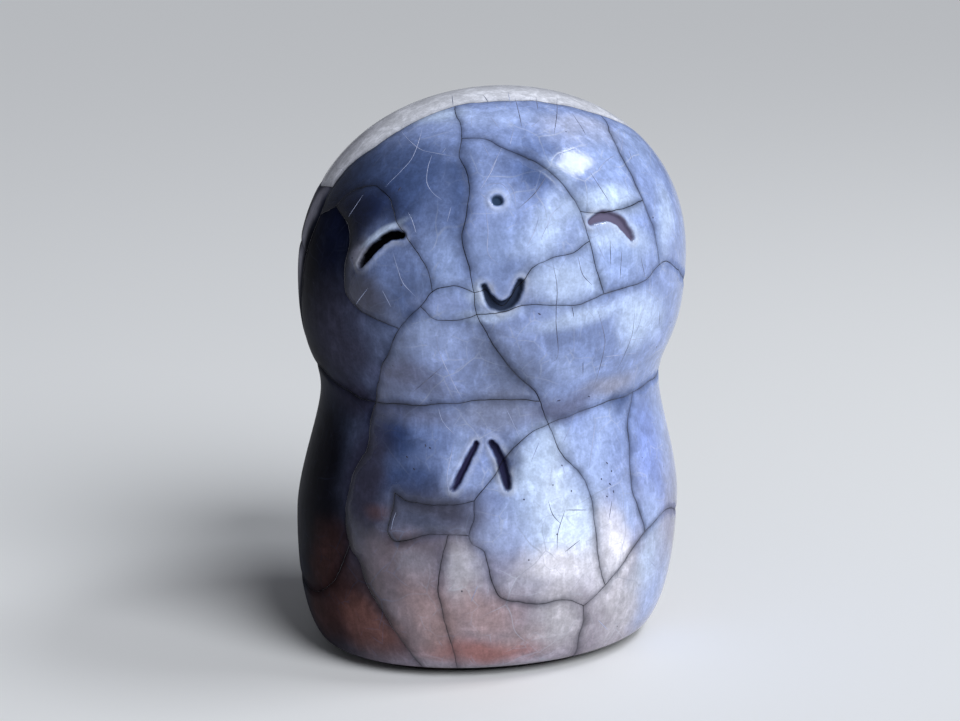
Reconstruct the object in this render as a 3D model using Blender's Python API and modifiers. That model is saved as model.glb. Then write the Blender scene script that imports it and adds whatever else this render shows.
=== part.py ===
"""A palm-sized jizo figure of raku-fired clay, modelled as the pieces it would come apart into.

Two hollow pinched forms, the torso and the head, are luted at the neck with a ring of slip. A thin coat
of glaze lies on both. The coat broke into plates as it cooled, so each plate is a solid of its own, with
an open crack round it. The drawn marks, which are eyes, mouth, brow dot and joined hands, are pressed
through the coat into the clay. Azimuths are in degrees from the front (-Y) towards the figure's side at
+X. Stations run down the outline: 0 at the crown, 1 at the widest of the head, 2 at the neck, 3 at the
widest of the torso, 4 at the foot.
"""

import math

import bmesh
import bpy
from mathutils import Vector
from mathutils.bvhtree import BVHTree

MM = 0.001

# Outline of the glazed figure, as a turned profile
HEIGHT = 80.0 * MM
HEAD_RADIUS = 28.0 * MM
HEAD_LEVEL = 54.7 * MM
NECK_RADIUS = 24.7 * MM
NECK_LEVEL = 37.6 * MM
TORSO_RADIUS = 28.1 * MM
TORSO_LEVEL = 19.4 * MM
FOOT_RADIUS = 20.9 * MM

# How far each curve of the outline runs straight before it bends
CROWN_EASE = 15.4 * MM
HEAD_UPPER_EASE = 15.8 * MM
HEAD_LOWER_EASE = 12.0 * MM
NECK_UPPER_EASE = 5.3 * MM
NECK_LOWER_EASE = 4.2 * MM
TORSO_UPPER_EASE = 5.8 * MM
TORSO_LOWER_EASE = 15.2 * MM
FOOT_EASE = 3.2 * MM

# Hand pressing, which takes the turned form out of round
DEPTH_SHARE = 0.92
SECTION_TURN = math.radians(9.6)
LEAN_TOP = 3.95 * MM
LEAN_BOW = 1.0 * MM
FOOT_SIDEWAYS = -0.55 * MM
FOOT_FORWARD = -0.9 * MM
FOOT_SPREAD = 1.4 * MM
FOOT_REACH_SHARE = 0.32

# Walls, coat and clearances
CLAY_WALL = 6.0 * MM
GLAZE_THICKNESS = 0.5 * MM
SEAT_GAP = 0.3 * MM
CRACK_WIDTH = 0.3 * MM
SLIP_THICKNESS = 1.2 * MM
SLIP_SETBACK = 0.4 * MM
BARE_FOOT_HEIGHT = 1.2 * MM
FOOT_RING_HEIGHT = 0.7 * MM
FOOT_RING_DRAFT = 0.3 * MM

# Pressed marks
EYE_WIDTH = 0.95 * MM
MOUTH_WIDTH = 1.0 * MM
HAND_WIDTH = 1.0 * MM
BROW_DOT_RADIUS = 0.95 * MM
MARK_DEPTH = 1.9 * MM

# Cutters reach past what they cut
CUTTER_PROUD = 0.6 * MM
CRACK_REACH = 1.1 * MM

# How finely the forms and routes are stepped
SEGMENTS = 36
CURVE_STEPS = (6, 4, 4, 5)
DEGREES_PER_STATION = 50.0
ROUTE_STEP = 0.18
DOT_SIDES = 14
MERGE = 0.00001
SHARP_ANGLE = math.radians(40)

# A crack runs on past the middle of the one it meets by this share of its width
END_OVERRUN = 0.3

# Cracks of the coat, each a list of (azimuth, station); cracks that meet share a stop
CRACKS = {
    "hairline": [(-86, 1.70), (-82, 1.35), (-77, 1.08), (-71, 0.91), (-67, 0.78), (-68, 0.68), (-65, 0.59),
                 (-58, 0.49), (-49, 0.35), (-33, 0.23), (-14, 0.20), (8, 0.19), (34, 0.21), (55, 0.28),
                 (72, 0.38)],
    "parting": [(-33, 0.23), (-18, 0.36), (-15, 0.43), (-14, 0.50), (-8, 0.63), (-8, 0.71), (-9, 0.80),
                (-7, 0.89), (-5, 0.98)],
    "brow": [(-15, 0.43), (-6, 0.43), (2, 0.47), (16, 0.56), (23, 0.65), (27, 0.75), (29, 0.85), (30, 0.93),
             (33, 1.02)],
    "right_temple": [(72, 0.38), (65, 0.43), (59, 0.47), (55, 0.54), (53, 0.62), (53, 0.75), (55, 0.86),
                     (56, 0.965)],
    "above_right_eye": [(27, 0.75), (34, 0.765), (42, 0.76), (53, 0.75)],
    "mouth_left": [(-5, 0.98), (-3.4, 0.975), (-1.6, 0.975)],
    "mouth_right": [(7.6, 0.965), (11, 0.92), (17, 0.89), (23, 0.88), (29, 0.85)],
    "cheek": [(-4, 1.06), (3, 1.05), (9, 1.03), (17, 1.04), (24, 1.05), (33, 1.02), (42, 1.01), (50, 1.00),
              (56, 0.965), (62, 0.965), (70, 1.01), (84, 1.09), (97, 1.12), (110, 1.08), (122, 1.02),
              (136, 0.99), (150, 1.03), (163, 1.06), (177, 1.03)],
    "chin": [(-5, 0.98), (-4, 1.06), (-1, 1.16), (2, 1.27), (5, 1.39), (10, 1.58), (14, 1.74), (16, 1.86),
             (19, 2.11)],
    "left_cheek": [(-5, 0.98), (-9, 0.965), (-13, 0.965), (-17, 0.98), (-20, 1.03), (-24, 1.09),
                   (-27, 1.14), (-31, 1.30), (-34, 1.42), (-36, 1.55), (-38, 1.72), (-40, 1.90)],
    "below_mouth_corner": [(-20, 1.03), (-16, 1.08), (-12, 1.09), (-8, 1.08), (-4, 1.06)],
    "above_left_eye": [(-67, 0.78), (-59, 0.735), (-55, 0.69), (-49, 0.655), (-42, 0.65), (-36, 0.68),
                       (-32, 0.73), (-30, 0.77), (-26, 0.81), (-21, 0.87), (-18, 0.92), (-17, 0.98)],
    "below_left_eye": [(-59, 0.735), (-53, 0.765), (-48, 0.80), (-46, 0.85), (-47, 0.93), (-46, 1.00),
                       (-42, 1.05), (-37, 1.085), (-31, 1.11), (-27, 1.14)],
    "neck_left": [(-86, 1.70), (-71, 1.68), (-63, 1.77), (-55, 1.83), (-48, 1.88), (-40, 1.90), (-25, 1.89),
                  (-10, 1.84), (4, 1.82), (16, 1.86)],
    "neck_right": [(19, 2.11), (30, 2.04), (41, 1.99), (55, 1.985), (64, 1.96), (76, 1.96), (90, 1.92),
                   (104, 1.95), (120, 2.01), (138, 1.94), (155, 1.87), (172, 1.89), (190, 1.95),
                   (209, 1.86), (228, 1.91), (248, 1.85), (262, 1.78), (274, 1.70)],
    "sleeve_edge": [(19, 2.11), (15, 2.15), (10, 2.24), (5, 2.36), (1, 2.48), (-4, 2.63)],
    "girdle_top": [(-4, 2.63), (-10, 2.655), (-18, 2.665), (-24, 2.65), (-29, 2.60)],
    "girdle_bottom": [(-29, 2.60), (-29, 2.75), (-29.5, 2.88), (-27, 2.94), (-22, 2.91), (-17, 2.87),
                      (-11, 2.86), (-5, 2.87)],
    "belly_left": [(-4, 2.63), (-4, 2.75), (-5, 2.87), (-4, 2.93), (-1, 2.99), (1, 3.06), (4, 3.16),
                   (10, 3.19), (16, 3.21), (24, 3.21), (30, 3.25)],
    "below_belly": [(30, 3.25), (30.5, 3.34), (30, 3.45), (31, 3.60), (31, 3.80)],
    "waist": [(30, 3.25), (37, 3.18), (42, 3.13), (48, 3.06), (53, 3.03), (59, 3.01), (66, 2.99),
              (74, 3.01), (86, 3.05), (98, 3.03), (110, 2.93), (122, 2.87), (135, 2.94), (148, 3.03),
              (160, 3.05), (172, 3.00), (184, 2.85), (197, 2.76), (210, 2.82), (222, 2.97), (236, 3.07),
              (250, 3.15), (264, 3.21), (276, 3.24), (287, 3.25)],
    "belly_right": [(19, 2.11), (21, 2.24), (23, 2.35), (27, 2.47), (30, 2.57), (32, 2.72), (32.5, 2.87),
                    (33, 3.00), (34, 3.09), (37, 3.18)],
    "right_side": [(55, 1.985), (54, 2.08), (51, 2.24), (50, 2.40), (48, 2.68), (50, 2.87), (53, 3.03)],
    "left_side": [(-40, 1.90), (-42, 2.09), (-42, 2.33), (-44, 2.42), (-46, 2.56), (-46, 2.80), (-43, 3.01),
                  (-39, 3.06), (-36, 3.13), (-31, 3.23), (-26, 3.34), (-21, 3.51), (-18, 3.65),
                  (-17, 3.80)],
    "front_skirt": [(-11, 2.86), (-12, 2.97), (-13, 3.07), (-13, 3.14), (-11, 3.25), (-9, 3.38), (-7, 3.55),
                    (-6, 3.80)],
    "left_hem": [(-43, 3.01), (-46, 3.08), (-50, 3.16), (-56, 3.22), (-63, 3.25), (-73, 3.25)],
    "behind_crown": [(72, 0.38), (88, 0.47), (104, 0.56), (112, 0.60), (126, 0.58), (142, 0.52),
                     (158, 0.48), (172, 0.46), (190, 0.50), (208, 0.56), (222, 0.60), (238, 0.61),
                     (256, 0.66), (274, 0.70), (292, 0.68)],
    "back_parting": [(172, 0.46), (168, 0.58), (171, 0.72), (177, 0.86), (178, 0.95), (177, 1.03),
                     (173, 1.20), (169, 1.42), (170, 1.65), (172, 1.89)],
    "behind_right_temple": [(112, 0.60), (108, 0.72), (111, 0.84), (117, 0.95), (122, 1.02)],
    "right_nape": [(97, 1.12), (101, 1.28), (99, 1.50), (102, 1.72), (104, 1.95)],
    "behind_left_temple": [(178, 0.95), (190, 0.91), (202, 0.94), (212, 0.99), (220, 1.04), (229, 1.06),
                           (240, 1.04), (252, 0.98), (264, 0.92), (276, 0.90), (289, 0.91)],
    "back_left_head": [(222, 0.60), (228, 0.70), (226, 0.82), (229, 0.94), (229, 1.06)],
    "left_nape": [(212, 0.99), (208, 1.15), (212, 1.38), (210, 1.62), (209, 1.86)],
    "right_shoulder": [(120, 2.01), (116, 2.20), (118, 2.38), (122, 2.62), (122, 2.87)],
    "below_right_shoulder": [(118, 2.38), (130, 2.42), (142, 2.46), (150, 2.62), (151, 2.82), (148, 3.03)],
    "back_middle": [(190, 1.95), (187, 2.16), (191, 2.40), (197, 2.58), (197, 2.76)],
    "left_shoulder": [(248, 1.85), (251, 2.10), (247, 2.38), (250, 2.68), (248, 2.95), (250, 3.15)],
    "right_hem": [(98, 3.03), (101, 3.15), (98, 3.30), (100, 3.50), (99, 3.80)],
    "back_right_hem": [(160, 3.05), (157, 3.20), (160, 3.36), (158, 3.55), (158, 3.80)],
    "back_left_hem": [(222, 2.97), (226, 3.10), (222, 3.27), (224, 3.50), (224, 3.80)],
    "left_rear_hem": [(276, 3.24), (273, 3.36), (275, 3.55), (274, 3.80)],
}

# One place well inside each plate of the coat gives the plate its name
PLATES = {
    "glaze_crown": (180, 0.25),
    "glaze_left_forehead": (-38, 0.50),
    "glaze_centre_forehead": (8, 0.75),
    "glaze_right_brow": (38, 0.55),
    "glaze_right_temple": (80, 0.75),
    "glaze_left_eyelid": (-33, 0.95),
    "glaze_right_eyelid": (42, 0.90),
    "glaze_left_cheek": (-60, 1.10),
    "glaze_right_cheek": (20, 0.97),
    "glaze_mouth_corner": (-12, 1.03),
    "glaze_chin": (-12, 1.50),
    "glaze_right_jowl": (40, 1.35),
    "glaze_left_sleeve": (-25, 2.30),
    "glaze_girdle": (-15, 2.76),
    "glaze_belly": (15, 2.80),
    "glaze_right_breast": (38, 2.45),
    "glaze_right_flank": (80, 2.50),
    "glaze_left_flank": (-70, 2.50),
    "glaze_front_skirt": (12, 3.45),
    "glaze_right_skirt": (65, 3.30),
    "glaze_left_skirt": (-50, 3.45),
    "glaze_right_rear_head": (140, 0.80),
    "glaze_left_rear_head": (200, 0.75),
    "glaze_left_rear_temple": (255, 0.80),
    "glaze_right_nape": (135, 1.40),
    "glaze_left_nape": (192, 1.40),
    "glaze_left_rear_cheek": (240, 1.40),
    "glaze_back_shoulder": (165, 2.40),
    "glaze_right_rear_flank": (133, 2.70),
    "glaze_left_rear_flank": (220, 2.40),
    "glaze_right_rear_skirt": (130, 3.35),
    "glaze_back_skirt": (190, 3.30),
    "glaze_left_rear_skirt": (250, 3.40),
}

# Pressed marks, as (azimuth, station) along each stroke
LEFT_EYE = [(-40, 0.91), (-36.5, 0.86), (-33, 0.825), (-30, 0.81), (-27.5, 0.81)]
RIGHT_EYE = [(30, 0.79), (33, 0.78), (36.5, 0.78), (40, 0.80), (42.5, 0.835), (44, 0.86)]
MOUTH = [(-2.2, 0.97), (0, 1.00), (2.8, 1.03), (5.5, 1.00), (7.7, 0.96)]
LEFT_HAND = [(-4, 2.23), (-7, 2.39), (-10.3, 2.55)]
RIGHT_HAND = [(1, 2.23), (3.6, 2.35), (5.8, 2.55)]
BROW_DOT = (1.2, 0.69)

# Colours of the coat where the kiln left it dark, middling, pale and rosy, and of the smoked clay
COBALT = (0.10, 0.13, 0.33, 1.0)
LAVENDER = (0.36, 0.40, 0.66, 1.0)
PALE = (0.62, 0.67, 0.83, 1.0)
MAUVE = (0.42, 0.33, 0.36, 1.0)
SMOKED_CLAY = (0.035, 0.032, 0.034, 1.0)
SLIP_GREY = (0.10, 0.09, 0.09, 1.0)
GLAZE_ROUGHNESS = 0.15
ROSY_ROUGHNESS = 0.20
CLAY_ROUGHNESS = 0.85
DARK_PLATES = {"glaze_left_forehead", "glaze_left_eyelid", "glaze_left_cheek", "glaze_left_sleeve",
               "glaze_left_flank", "glaze_left_rear_temple", "glaze_left_rear_cheek"}
PALE_PLATES = {"glaze_crown", "glaze_right_brow", "glaze_right_temple", "glaze_right_eyelid",
               "glaze_right_cheek", "glaze_belly", "glaze_right_breast", "glaze_right_flank"}
ROSY_PLATES = {"glaze_front_skirt", "glaze_left_skirt", "glaze_back_skirt", "glaze_left_rear_skirt",
               "glaze_girdle"}


def clear_scene():
    """Remove every object of the start-up scene."""
    for old in list(bpy.data.objects):
        bpy.data.objects.remove(old, do_unlink=True)


def bezier_point(knots, t):
    """A point on a cubic curve through knots[0] and knots[3]."""
    keep = 1.0 - t
    return (knots[0] * keep ** 3 + knots[1] * 3 * keep ** 2 * t + knots[2] * 3 * keep * t ** 2
            + knots[3] * t ** 3)


def outline_curves(wall=0.0):
    """The four curves of the outline, from crown to foot, drawn in by a wall thickness."""
    crown = Vector((0.0, HEIGHT - wall))
    head = Vector((HEAD_RADIUS - wall, HEAD_LEVEL))
    neck = Vector((NECK_RADIUS - wall, NECK_LEVEL))
    torso = Vector((TORSO_RADIUS - wall, TORSO_LEVEL))
    foot = Vector((FOOT_RADIUS - wall, 0.0))
    out, up = Vector((1.0, 0.0)), Vector((0.0, 1.0))
    return [
        (crown, crown + out * (CROWN_EASE - wall / 2), head + up * (HEAD_UPPER_EASE - wall / 2), head),
        (head, head - up * HEAD_LOWER_EASE, neck + up * NECK_UPPER_EASE, neck),
        (neck, neck - up * NECK_LOWER_EASE, torso + up * TORSO_UPPER_EASE, torso),
        (torso, torso - up * TORSO_LOWER_EASE, foot + out * FOOT_EASE, foot),
    ]


OUTLINE = outline_curves()


def outline_at(station, inset=0.0):
    """Radius and height at a station, set in square to the outline."""
    index = min(int(station), len(OUTLINE) - 1)
    knots = OUTLINE[index]
    t = station - index
    point = bezier_point(knots, t)
    if inset == 0.0:
        return point
    nudge = 0.001
    ahead = bezier_point(knots, min(t + nudge, 1.0))
    behind = bezier_point(knots, max(t - nudge, 0.0))
    along = (ahead - behind).normalized()
    return point + Vector((along.y, -along.x)) * inset


def stations_between(first, last):
    """Evenly spread stations of the outline from first to last."""
    stations = [first]
    for index, steps in enumerate(CURVE_STEPS):
        for step in range(steps):
            station = index + step / steps
            if first + 0.02 < station < last - 0.02:
                stations.append(station)
    stations.append(last)
    return stations


def station_at(height, low, high):
    """The station between two others at which the outline has come down to a height."""
    for _ in range(40):
        middle = (low + high) / 2
        if outline_at(middle).y > height:
            low = middle
        else:
            high = middle
    return low


def press(turned):
    """Move a point of the turned form to where hand pressing leaves it."""
    cosine, sine = math.cos(SECTION_TURN), math.sin(SECTION_TURN)
    along = turned.x * cosine + turned.y * sine
    across = (turned.y * cosine - turned.x * sine) * DEPTH_SHARE
    share = turned.z / HEIGHT
    low = max(0.0, 1.0 - share / FOOT_REACH_SHARE) ** 2
    azimuth = math.atan2(turned.x, -turned.y)
    spread = FOOT_SPREAD * math.sin(2 * (azimuth - SECTION_TURN))
    lean = LEAN_BOW * 4 * share * (1 - share) + LEAN_TOP * share ** 2
    return Vector((along * cosine - across * sine + lean + low * (FOOT_SIDEWAYS + spread),
                   along * sine + across * cosine + low * FOOT_FORWARD,
                   turned.z))


def off_centre():
    """How far the middle of the pressed form lies from the axis that it was turned on."""
    xs, ys = [], []
    for station in stations_between(0.0, 4.0):
        radius, height = outline_at(station)
        for step in range(SEGMENTS):
            angle = math.tau * step / SEGMENTS
            point = press(Vector((radius * math.cos(angle), radius * math.sin(angle), height)))
            xs.append(point.x)
            ys.append(point.y)
    return Vector(((min(xs) + max(xs)) / 2, (min(ys) + max(ys)) / 2, 0.0))


CENTRE = off_centre()


def on_coat(azimuth, station):
    """The place on the glazed surface at an azimuth in degrees and a station."""
    radius, height = outline_at(station)
    angle = math.radians(azimuth)
    return press(Vector((radius * math.sin(angle), -radius * math.cos(angle), height))) - CENTRE


def outward(azimuth, station):
    """The direction that points straight out of the glazed surface."""
    nudge = 0.01
    down = on_coat(azimuth, min(station + nudge, 4.0)) - on_coat(azimuth, station - nudge)
    around = on_coat(azimuth + 1.0, station) - on_coat(azimuth - 1.0, station)
    return down.cross(around).normalized()


def smooth_route(stops):
    """Points of an even curve through the stops of a crack or stroke."""
    scale = Vector((1.0 / DEGREES_PER_STATION, 1.0))
    points = [Vector(stop) for stop in stops]
    points.insert(0, points[0] * 2 - points[1])
    points.append(points[-1] * 2 - points[-2])

    def span(a, b):
        return math.sqrt(((b - a) * scale).length)

    route = [points[1]]
    for index in range(1, len(points) - 2):
        p0, p1, p2, p3 = points[index - 1:index + 3]
        k1 = span(p0, p1)
        k2 = k1 + span(p1, p2)
        k3 = k2 + span(p2, p3)
        steps = max(1, math.ceil(((p2 - p1) * scale).length / ROUTE_STEP))
        for step in range(1, steps + 1):
            k = k1 + (k2 - k1) * step / steps
            a1 = p0.lerp(p1, k / k1)
            a2 = p1.lerp(p2, (k - k1) / (k2 - k1))
            a3 = p2.lerp(p3, (k - k2) / (k3 - k2))
            b1 = a1.lerp(a2, k / k2)
            b2 = a2.lerp(a3, (k - k1) / (k3 - k1))
            route.append(b1.lerp(b2, (k - k1) / (k2 - k1)))
    return route


def new_collection(name):
    collection = bpy.data.collections.new(name)
    bpy.context.scene.collection.children.link(collection)
    return collection


def new_material(name, colour, roughness):
    material = bpy.data.materials.new(name)
    material.use_nodes = True
    shader = material.node_tree.nodes["Principled BSDF"]
    shader.inputs["Base Color"].default_value = colour
    shader.inputs["Roughness"].default_value = roughness
    shader.inputs["Metallic"].default_value = 0.0
    material.diffuse_color = colour
    return material


def add_object(name, mesh, collection):
    piece = bpy.data.objects.new(name, mesh)
    collection.objects.link(piece)
    return piece


def evaluated_mesh(source, name):
    """The mesh of an object after its modifiers."""
    bpy.context.view_layer.update()
    graph = bpy.context.evaluated_depsgraph_get()
    mesh = bpy.data.meshes.new_from_object(source.evaluated_get(graph))
    mesh.name = name
    return mesh


def turned_mesh(name, profile, closed):
    """Turn a profile of (radius, height) points about Z, then press it out of round."""
    line = bpy.data.meshes.new(name + "_profile")
    points = [(radius, 0.0, height) for radius, height in profile]
    edges = [(index, index + 1) for index in range(len(points) - 1)]
    if closed:
        edges.append((len(points) - 1, 0))
    line.from_pydata(points, edges, [])
    lathe = add_object(name + "_lathe", line, bpy.context.scene.collection)
    screw = lathe.modifiers.new("Turn", "SCREW")
    screw.axis = "Z"
    screw.angle = math.tau
    screw.steps = SEGMENTS
    screw.render_steps = SEGMENTS
    screw.use_merge_vertices = True
    screw.merge_threshold = MERGE
    mesh = evaluated_mesh(lathe, name)
    bpy.data.objects.remove(lathe, do_unlink=True)
    bpy.data.meshes.remove(line)
    for vertex in mesh.vertices:
        vertex.co = press(vertex.co) - CENTRE
    return mesh


def finish_surface(mesh):
    """Shade a round piece smooth, with its real edges left sharp."""
    mesh.shade_smooth()
    mesh.set_sharp_from_angle(angle=SHARP_ANGLE)


def make_cutter(piece):
    piece.hide_render = True
    piece.display_type = "WIRE"


def route_wall(name, stops, width, reach, collection):
    """A thin upright wall that follows a route, square to the glazed surface."""
    places = [(on_coat(*stop), outward(*stop)) for stop in smooth_route(stops)]
    lead_in = (places[0][0] - places[1][0]).normalized() * width * END_OVERRUN
    lead_out = (places[-1][0] - places[-2][0]).normalized() * width * END_OVERRUN
    places[0] = (places[0][0] + lead_in, places[0][1])
    places[-1] = (places[-1][0] + lead_out, places[-1][1])
    strip = bmesh.new()
    below = [strip.verts.new(place - out * reach) for place, out in places]
    above = [strip.verts.new(place + out * CUTTER_PROUD) for place, out in places]
    for step in range(len(places) - 1):
        strip.faces.new((below[step], below[step + 1], above[step + 1], above[step]))
    mesh = bpy.data.meshes.new(name)
    strip.to_mesh(mesh)
    strip.free()
    wall = add_object(name, mesh, collection)
    solidify = wall.modifiers.new("Width", "SOLIDIFY")
    solidify.thickness = width
    solidify.offset = 0.0
    wall.modifiers.new("Triangles", "TRIANGULATE")
    make_cutter(wall)
    return wall


def dot_cutter(name, place, collection):
    """A short round punch that stands square to the glazed surface."""
    out = outward(*place)
    length = MARK_DEPTH + CUTTER_PROUD
    centre = on_coat(*place) + out * (CUTTER_PROUD - length / 2)
    upright = out.to_track_quat("Z", "Y").to_euler()
    bpy.ops.mesh.primitive_cylinder_add(vertices=DOT_SIDES, radius=BROW_DOT_RADIUS, depth=length,
                                        location=centre, rotation=upright)
    punch = bpy.context.active_object
    punch.name = name
    for owner in list(punch.users_collection):
        owner.objects.unlink(punch)
    collection.objects.link(punch)
    make_cutter(punch)
    return punch


def cut(piece, cutter):
    boolean = piece.modifiers.new("Cut " + cutter.name, "BOOLEAN")
    boolean.operation = "DIFFERENCE"
    boolean.solver = "EXACT"
    boolean.object = cutter


def cut_all(piece, cutters):
    boolean = piece.modifiers.new("Cut " + cutters.name, "BOOLEAN")
    boolean.operation = "DIFFERENCE"
    boolean.solver = "EXACT"
    boolean.operand_type = "COLLECTION"
    boolean.collection = cutters


def clay_outline(first, last):
    """Outer face of the clay between two stations, below the coat and its seat."""
    inset = GLAZE_THICKNESS + SEAT_GAP
    return [outline_at(station, inset) for station in stations_between(first, last)]


def hollow_outline(first, last):
    """Inner face of the clay between two stations."""
    curves = outline_curves(CLAY_WALL + GLAZE_THICKNESS + SEAT_GAP)
    points = []
    for station in stations_between(first, last):
        index = min(int(station), len(curves) - 1)
        points.append(bezier_point(curves[index], station - index))
    return points


def make_head(collection):
    """Upper pinched form: a hollow dome, open at the neck."""
    level = NECK_LEVEL + SLIP_THICKNESS / 2 + SEAT_GAP
    end = station_at(level, 1.0, 2.0)
    outer, inner = clay_outline(0.0, end), hollow_outline(0.0, end)
    outer[0].x = inner[0].x = 0.0
    outer[-1].y = inner[-1].y = level
    mesh = turned_mesh("clay_head", outer + inner[::-1], False)
    return add_object("clay_head", mesh, collection)


def make_torso(collection):
    """Lower pinched form: a hollow barrel, open at the neck and under the foot."""
    level = NECK_LEVEL - SLIP_THICKNESS / 2 - SEAT_GAP
    start = station_at(level, 2.0, 3.0)
    outer, inner = clay_outline(start, 4.0), hollow_outline(start, 4.0)
    outer[0].y = inner[0].y = level
    outer = [point for point in outer if point.y > FOOT_RING_HEIGHT]
    ring_top = Vector((FOOT_RADIUS, FOOT_RING_HEIGHT))
    ring_foot = Vector((FOOT_RADIUS - FOOT_RING_DRAFT, 0.0))
    mesh = turned_mesh("clay_torso", outer + [ring_top, ring_foot] + inner[::-1], True)
    return add_object("clay_torso", mesh, collection)


def make_slip(collection):
    """Ring of slip that lutes the head to the torso."""
    outer = NECK_RADIUS - GLAZE_THICKNESS - SEAT_GAP - SLIP_SETBACK
    inner = NECK_RADIUS - GLAZE_THICKNESS - SEAT_GAP - CLAY_WALL + SLIP_SETBACK
    top, bottom = NECK_LEVEL + SLIP_THICKNESS / 2, NECK_LEVEL - SLIP_THICKNESS / 2
    mesh = turned_mesh("neck_slip", [(outer, top), (outer, bottom), (inner, bottom), (inner, top)], True)
    return add_object("neck_slip", mesh, collection)


def make_coat(collection):
    """The whole coat of glaze before it breaks, ending above the bare foot."""
    end = station_at(BARE_FOOT_HEIGHT, 3.0, 4.0)
    mesh = turned_mesh("glaze_coat", [outline_at(station) for station in stations_between(0.0, end)], False)
    coat = add_object("glaze_coat", mesh, collection)
    solidify = coat.modifiers.new("Coat", "SOLIDIFY")
    solidify.thickness = GLAZE_THICKNESS
    solidify.offset = -1.0
    coat.modifiers.new("Triangles", "TRIANGULATE")
    return coat


def loose_parts(mesh):
    """Split a mesh into one bmesh for each separate piece."""
    whole = bmesh.new()
    whole.from_mesh(mesh)
    whole.faces.ensure_lookup_table()
    group_of = {}
    groups = []
    for start in whole.faces:
        if start.index in group_of:
            continue
        members, waiting = [], [start]
        group_of[start.index] = len(groups)
        while waiting:
            face = waiting.pop()
            members.append(face.index)
            for edge in face.edges:
                for other in edge.link_faces:
                    if other.index not in group_of:
                        group_of[other.index] = len(groups)
                        waiting.append(other)
        groups.append(set(members))
    whole.free()
    parts = []
    for members in groups:
        part = bmesh.new()
        part.from_mesh(mesh)
        part.faces.ensure_lookup_table()
        others = [face for face in part.faces if face.index not in members]
        bmesh.ops.delete(part, geom=others, context="FACES")
        parts.append(part)
    return parts


def name_parts(parts):
    """Give each piece of the coat the name of the place it covers."""
    trees = [BVHTree.FromBMesh(part) for part in parts]
    names = {}
    for name, place in PLATES.items():
        point = on_coat(*place)
        nearest = min(range(len(trees)), key=lambda index: trees[index].find_nearest(point)[3])
        names.setdefault(nearest, name)
    spare = 1
    for index in range(len(parts)):
        if index not in names:
            names[index] = f"glaze_chip_{spare}"
            spare += 1
    return [names[index] for index in range(len(parts))]


def plate_material(name):
    if name in DARK_PLATES:
        return new_material(name, COBALT, GLAZE_ROUGHNESS)
    if name in PALE_PLATES:
        return new_material(name, PALE, GLAZE_ROUGHNESS)
    if name in ROSY_PLATES:
        return new_material(name, MAUVE, ROSY_ROUGHNESS)
    return new_material(name, LAVENDER, GLAZE_ROUGHNESS)


def break_coat(coat, cracks, marks, collection):
    """Break the coat along its cracks and make each plate an object."""
    cut_all(coat, cracks)
    for mark in marks:
        cut(coat, mark)
    broken = evaluated_mesh(coat, "broken_coat")
    parts = loose_parts(broken)
    for name, part in zip(name_parts(parts), parts):
        mesh = bpy.data.meshes.new(name)
        part.to_mesh(mesh)
        part.free()
        finish_surface(mesh)
        plate = add_object(name, mesh, collection)
        plate.data.materials.clear()
        plate.data.materials.append(plate_material(name))
    bpy.data.objects.remove(coat, do_unlink=True)


def main():
    clear_scene()
    figure = new_collection("jizo_figure")
    cracks = new_collection("crack_cutters")
    presses = new_collection("mark_cutters")
    for name, stops in CRACKS.items():
        route_wall("crack_" + name, stops, CRACK_WIDTH, CRACK_REACH, cracks)
    head_marks = [
        route_wall("press_left_eye", LEFT_EYE, EYE_WIDTH, MARK_DEPTH, presses),
        route_wall("press_right_eye", RIGHT_EYE, EYE_WIDTH, MARK_DEPTH, presses),
        route_wall("press_mouth", MOUTH, MOUTH_WIDTH, MARK_DEPTH, presses),
        dot_cutter("press_brow_dot", BROW_DOT, presses),
    ]
    torso_marks = [
        route_wall("press_left_hand", LEFT_HAND, HAND_WIDTH, MARK_DEPTH, presses),
        route_wall("press_right_hand", RIGHT_HAND, HAND_WIDTH, MARK_DEPTH, presses),
    ]
    head = make_head(figure)
    torso = make_torso(figure)
    slip = make_slip(figure)
    for piece, colour, marks in ((head, SMOKED_CLAY, head_marks), (torso, SMOKED_CLAY, torso_marks),
                                 (slip, SLIP_GREY, [])):
        piece.data.materials.append(new_material(piece.name, colour, CLAY_ROUGHNESS))
        finish_surface(piece.data)
        piece.modifiers.new("Triangles", "TRIANGULATE")
        for mark in marks:
            cut(piece, mark)
    break_coat(make_coat(figure), cracks, head_marks + torso_marks, figure)


main()
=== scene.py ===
"""A palm-sized jizo figure in raku-fired ceramic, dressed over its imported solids.

Azimuths are in degrees from the front (-Y) towards +X. Stations run down the outline: 0 at the crown, 1 at
the widest of the head, 2 at the neck, 3 at the widest of the torso and 4 at the foot.
"""

import math

import bmesh
import bpy
import numpy as np
from mathutils import Euler, Matrix, Vector, kdtree, noise
from mathutils.bvhtree import BVHTree


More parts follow.
